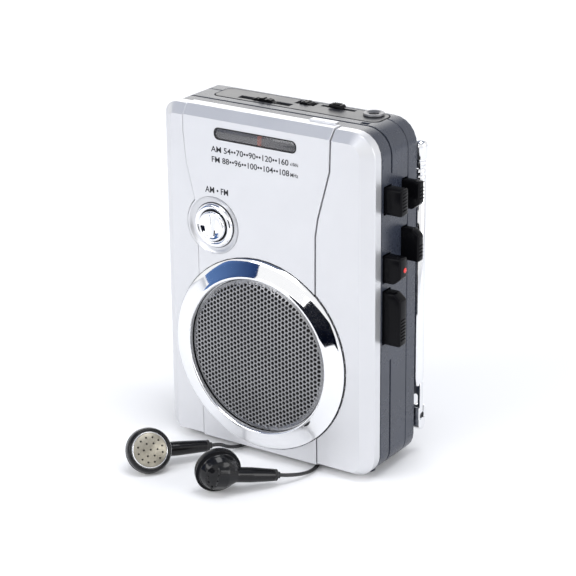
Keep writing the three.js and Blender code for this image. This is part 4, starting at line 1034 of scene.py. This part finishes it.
def side_mark(points):
    """A raised transport sign on the right side: a flat polygon in Y and Z."""
    sign = added(bpy.ops.mesh.primitive_circle_add, vertices=len(points), radius=MM, fill_type="NGON")
    for vertex, (y, z) in zip(sign.data.vertices, points):
        vertex.co = at(SIDE_FACE, y, z)
    edit(sign, "FACE")
    bpy.ops.mesh.extrude_region_move(TRANSFORM_OT_translate={"value": (0.16 * MM, 0, 0)})
    bpy.ops.mesh.select_all(action="SELECT")
    bpy.ops.mesh.normals_make_consistent(inside=False)
    leave_edit()
    return sign


def triangle(y, z, size, way=1):
    """An arrowhead that points up, or down if way is -1."""
    half = size * 0.8
    base_z = z - way * size * 0.5
    return [(y, z + way * size), (y - half, base_z), (y + half, base_z)]


stop_square = [(15.2, 103.4), (17.2, 103.4), (17.2, 105.4), (15.2, 105.4)]
side_marks = [side_mark(outline) for outline in (
    stop_square, triangle(16.2, 62, 1.4, -1),
    triangle(18.4, 104.6, 1.1), triangle(18.4, 106.4, 1.1),
    triangle(18.4, 85.2, 1.1, -1), triangle(18.4, 83.4, 1.1, -1),
)]
settle(join(side_marks), "side_signs", housing_plastic, node="main_housing")

# ---------------------------------------------------------------- top controls

jack = turned([
    (0, -16), (3.2, -16), (3.2, 0.3), (3.9, 0.3), (3.9, 0.65), (3.7, 0.9), (3.0, 0.95), (2.6, 0.85),
    (2.25, 0.6), (1.85, 0.5), (1.8, 0.3), (1.8, -14.5), (0, -14.5),
], 48, facing_up(29.9, 26.3, 129.6))
soften(jack, 40)
jack_metal = finish("jack_metal", (0.16, 0.16, 0.17), 0.28, 0.6, 0.08, 2400, 0.1, darkest=0.85)
settle(jack, "phones_jack_turned", jack_metal, stands_for=("phones_jack",))
slider_ribs = [
    cuboid(low_x, low_x + 0.3, 25.8, 28.2, 131.0, 131.35, 0.1, 1) for low_x in (12.6, 13.3, 14, 14.7, 15.2)
]
settle(join(slider_ribs), "function_slider_ribs", key_gloss, node="function_slider")
# Black sheets at the bottoms of the two top slots: painted shade in the slots.
slot_shade_sheets = [
    cuboid(-24.6, -2.3, 20.0, 22.8, 124.0, 124.5, 0.1, 1), cuboid(7.5, 21.7, 26.2, 27.8, 124.5, 125, 0.1, 1),
]
settle(join(slot_shade_sheets), "top_slot_painted_shade", black_and_painted_shade, node="main_housing", slot="black_plastic")

# ---------------------------------------------------------------- aerial

MAST = (44.5, 34.2)


def mast_tube(profile):
    """One drawn tube or cap of the folded mast, from heights above the player's foot."""
    tube = turned(profile, 40, facing_up(*MAST, 0))
    soften(tube, 40)
    return tube


taper = mast_tube([
    (0, 26.0), (1.7, 26.0), (1.85, 26.3), (2.3, 29.3), (2.3, 30), (2.3, 105.3), (2.15, 105.5),
    (1.95, 105.5), (1.95, 31), (0, 31),
])
tongue = cuboid(42.6, 46.4, 33.1, 35.3, 13.8, 27)
pick(tongue, lambda place, normal: normal.z < -0.9)
bpy.ops.mesh.bevel(offset=1.5 * MM, segments=5, affect="EDGES")
leave_edit()
cut_out(tongue, capsule(43.7, 45.3, 18.1, 22.6, 31, 37, 0.78))
round_edges(tongue, 0.12, 1, 50, 40)
settle(join([taper, tongue]), "aerial_section_1_drawn", mast_chrome, stands_for=("aerial_section_1",))
settle(mast_tube([
    (1.35, 31.5), (1.7, 31.5), (1.7, 105.8), (2.3, 105.8), (2.3, 107.3), (1.9, 107.9), (1.35, 107.9),
    (1.35, 31.5),
]), "aerial_section_2_drawn", mast_chrome, stands_for=("aerial_section_2",))
settle(mast_tube([
    (0.75, 33.5), (1.1, 33.5), (1.1, 108.2), (2.1, 108.2), (2.1, 109.6), (1.7, 110.2), (0.75, 110.2),
    (0.75, 33.5),
]), "aerial_section_3_drawn", mast_chrome, stands_for=("aerial_section_3",))
settle(mast_tube([
    (0, 35.5), (0.5, 35.5), (0.5, 110.6), (1.9, 110.6), (2.3, 110.8), (2.3, 111.5), (2.0, 111.7),
    (2.0, 112.2), (2.35, 112.4), (2.35, 113.1), (2.0, 113.3), (2.0, 113.8), (2.55, 114.1), (2.7, 114.6),
    (2.7, 118.6), (2.5, 119.6), (1.9, 120.4), (1.0, 120.75), (0, 120.8),
]), "aerial_tip_turned", mast_chrome, stands_for=("aerial_tip",))
fit_turned("aerial_pivot_head", plated_steel, [
    (0, -2.5), (0.9, -2.5), (1.1, -2.35), (1.1, -2.2), (0, -2.2),
], 24, facing_front(*MAST, 15.5), node="aerial_base")

# ---------------------------------------------------------------- earphones


def bud(side):
    data = BUDS[side]
    place = bud_matrix(data["centre"], data["facing"], data["way"])
    stem_length = data["stem"]
    head = turned([
        (0, -6.5), (2.2, -6.35), (4.2, -5.6), (5.9, -4.3), (6.9, -2.6), (7.3, -1.5), (7.3, -1.25),
        (8.0, -1.2), (8.4, -0.8), (8.5, 0.2), (8.45, 1.2), (8.1, 2.2), (7.6, 2.75), (7.1, 2.8),
        (6.95, 2.4), (6.9, 1.5), (0, 1.5),
    ], 72)
    stem = added(bpy.ops.mesh.primitive_cylinder_add, vertices=24, radius=1, depth=1)
    bake_place(stem, (
        Matrix.Translation(Vector((stem_length / 2 - 1.5, 0, STEM_DROP)) * MM)
        @ ALONG_X
        @ Matrix.Diagonal((2.95 * MM, 2.75 * MM, (stem_length + 1) * MM, 1))
    ))
    edit(stem)
    for cut in (2, 6, 12):
        bpy.ops.mesh.select_all(action="SELECT")
        bpy.ops.mesh.bisect(plane_co=(cut * MM, 0, 0), plane_no=(1, 0, 0))
    leave_edit()
    far_x = (stem_length - 3) * MM
    pick(stem, lambda spot, normal: spot.x > far_x, "VERT")
    bpy.ops.transform.resize(value=(1, 0.8, 0.8), center_override=(0, 0, STEM_DROP * MM))
    leave_edit()
    pick(stem, lambda spot, normal: spot.x < 3 * MM, "VERT")
    bpy.ops.transform.resize(value=(1, 1.85, 1.5), center_override=(0, 0, STEM_DROP * MM))
    leave_edit()
    shell = join([head, stem])
    apply_modifier(shell, "REMESH", mode="VOXEL", voxel_size=0.28 * MM)
    apply_modifier(shell, "SMOOTH", factor=0.5, iterations=5)
    focus(shell)
    bpy.ops.object.shade_smooth()
    bake_place(shell, place)
    shell.visible_glossy = False
    settle(shell, side + "_bud_shell_moulded", bud_plastic, stands_for=(side + "_bud_shell",))

    fit_turned(side + "_bud_relief", dull_rubber, [
        (0, stem_length - 1.8), (2.0, stem_length - 1.8), (2.15, stem_length - 1.5),
        (2.15, stem_length - 0.2), (1.9, stem_length), (1.3, stem_length + 0.2),
        (1.2, stem_length + 1.0), (0.9, stem_length + 1.2), (0, stem_length + 1.2),
    ], 28, place @ Matrix.Translation(Vector((0, 0, STEM_DROP)) * MM) @ ALONG_X, 40,
       node=side + "_bud_shell", slot="black_rubber")

    fit_turned(side + "_bud_rim", key_gloss, [
        (7.2, -1.45), (8.35, -1.12), (8.52, -0.98), (8.4, -0.82), (7.2, -1.1), (7.2, -1.45),
    ], 72, place, 60, node=side + "_bud_shell")
    fit_turned(side + "_bud_bezel", bright_chrome, [
        (6.25, 2.2), (6.36, 2.64), (6.46, 2.7), (6.56, 2.64), (6.7, 2.2), (6.25, 2.2),
    ], 72, place, 60, node=side + "_bud_shell", slot="chrome_plate")

    screen = pierced_screen()
    bake_place(screen, place)
    soften(screen, 50)
    settle(screen, side + "_bud_screen", bud_screen, stands_for=(side + "_bud_grille",))
    backing = disc(6.6, 0.3, 40, place @ Matrix.Translation((0, 0, 1.75 * MM)))
    settle(backing, side + "_bud_felt", black_and_painted_shade, node=side + "_bud_grille", slot="black_rubber")

    # Black blocks where the vents are, standing in for the painted shade of the vent holes.
    vents = []
    for turn in (-28, 0, 28):
        vent = block((1.9, 0.9, 0.5))
        bevel_all(vent, 0.24, 2)
        bake_place(vent, (
            place @ Matrix.Rotation(math.radians(150 + turn), 4, "Z")
            @ Matrix.Translation(Vector((5.25, 0, -4.75)) * MM) @ Matrix.Rotation(math.radians(48), 4, "Y")
        ))
        vents.append(vent)
    settle(join(vents), side + "_bud_vent_painted_shade", black_and_painted_shade, node=side + "_bud_shell", slot="black_rubber")


def pierced_screen():
    """A bud's domed screen with a ring of small holes round its middle."""
    dome = turned([
        (0, 3.55), (1.5, 3.5), (3.0, 3.3), (4.6, 2.98), (5.9, 2.6), (6.6, 2.3), (6.75, 2.05),
        (6.5, 1.95), (0, 1.95),
    ], 48)
    cutters = []
    spots = [(0, 0)] + [(2.6, 60 * i) for i in range(6)] + [(4.7, 30 * i + 15) for i in range(12)]
    for reach, turn in spots:
        cutter = added(bpy.ops.mesh.primitive_cylinder_add, vertices=10, radius=0.38 * MM, depth=3 * MM)
        cutter.location = (
            reach * MM * math.cos(math.radians(turn)), reach * MM * math.sin(math.radians(turn)), 3.2 * MM,
        )
        bake_place(cutter)
        cutters.append(cutter)
    cut_out(dome, join(cutters))
    return dome


bud("left")
bud("right")

# ---------------------------------------------------------------- screws on the back


def screw(place, name):
    """A pan-headed screw with a cross recess."""
    head = turned([(0, 0.62), (0.9, 0.6), (1.6, 0.4), (1.85, 0.12), (1.85, -0.4), (0, -0.4)], 28)
    for arm in [block((1.9, 0.42, 0.9), (0, 0, 0.6 * MM), turn) for turn in (0, 90)]:
        cut_out(head, arm)
    soften(head, 40)
    bake_place(head, place)
    settle(head, name, plated_steel, node="rear_cover", slot="sheet_steel")


BACK_FACE = 38
BACK_FACING = Matrix.Rotation(-math.pi / 2, 4, "X")
for number, (x, z) in enumerate(((31.5, 8), (-34, 8), (31.5, 120.5), (-34, 122.6), (31.5, 64))):
    # A flat black ring round each screw, painted shade for the screw's well.
    fit_turned(f"back_screw_well_painted_shade_{number}", black_and_painted_shade, [
        (1.95, 0.04), (2.7, 0.04), (2.85, -0.05), (1.95, -0.05), (1.95, 0.04),
    ], 32, Matrix.Translation(at(x, BACK_FACE, z)) @ BACK_FACING, node="rear_cover", slot="black_plastic")
    screw(Matrix.Translation(at(x, BACK_FACE - 0.25, z)) @ BACK_FACING, f"back_screw_{number}")
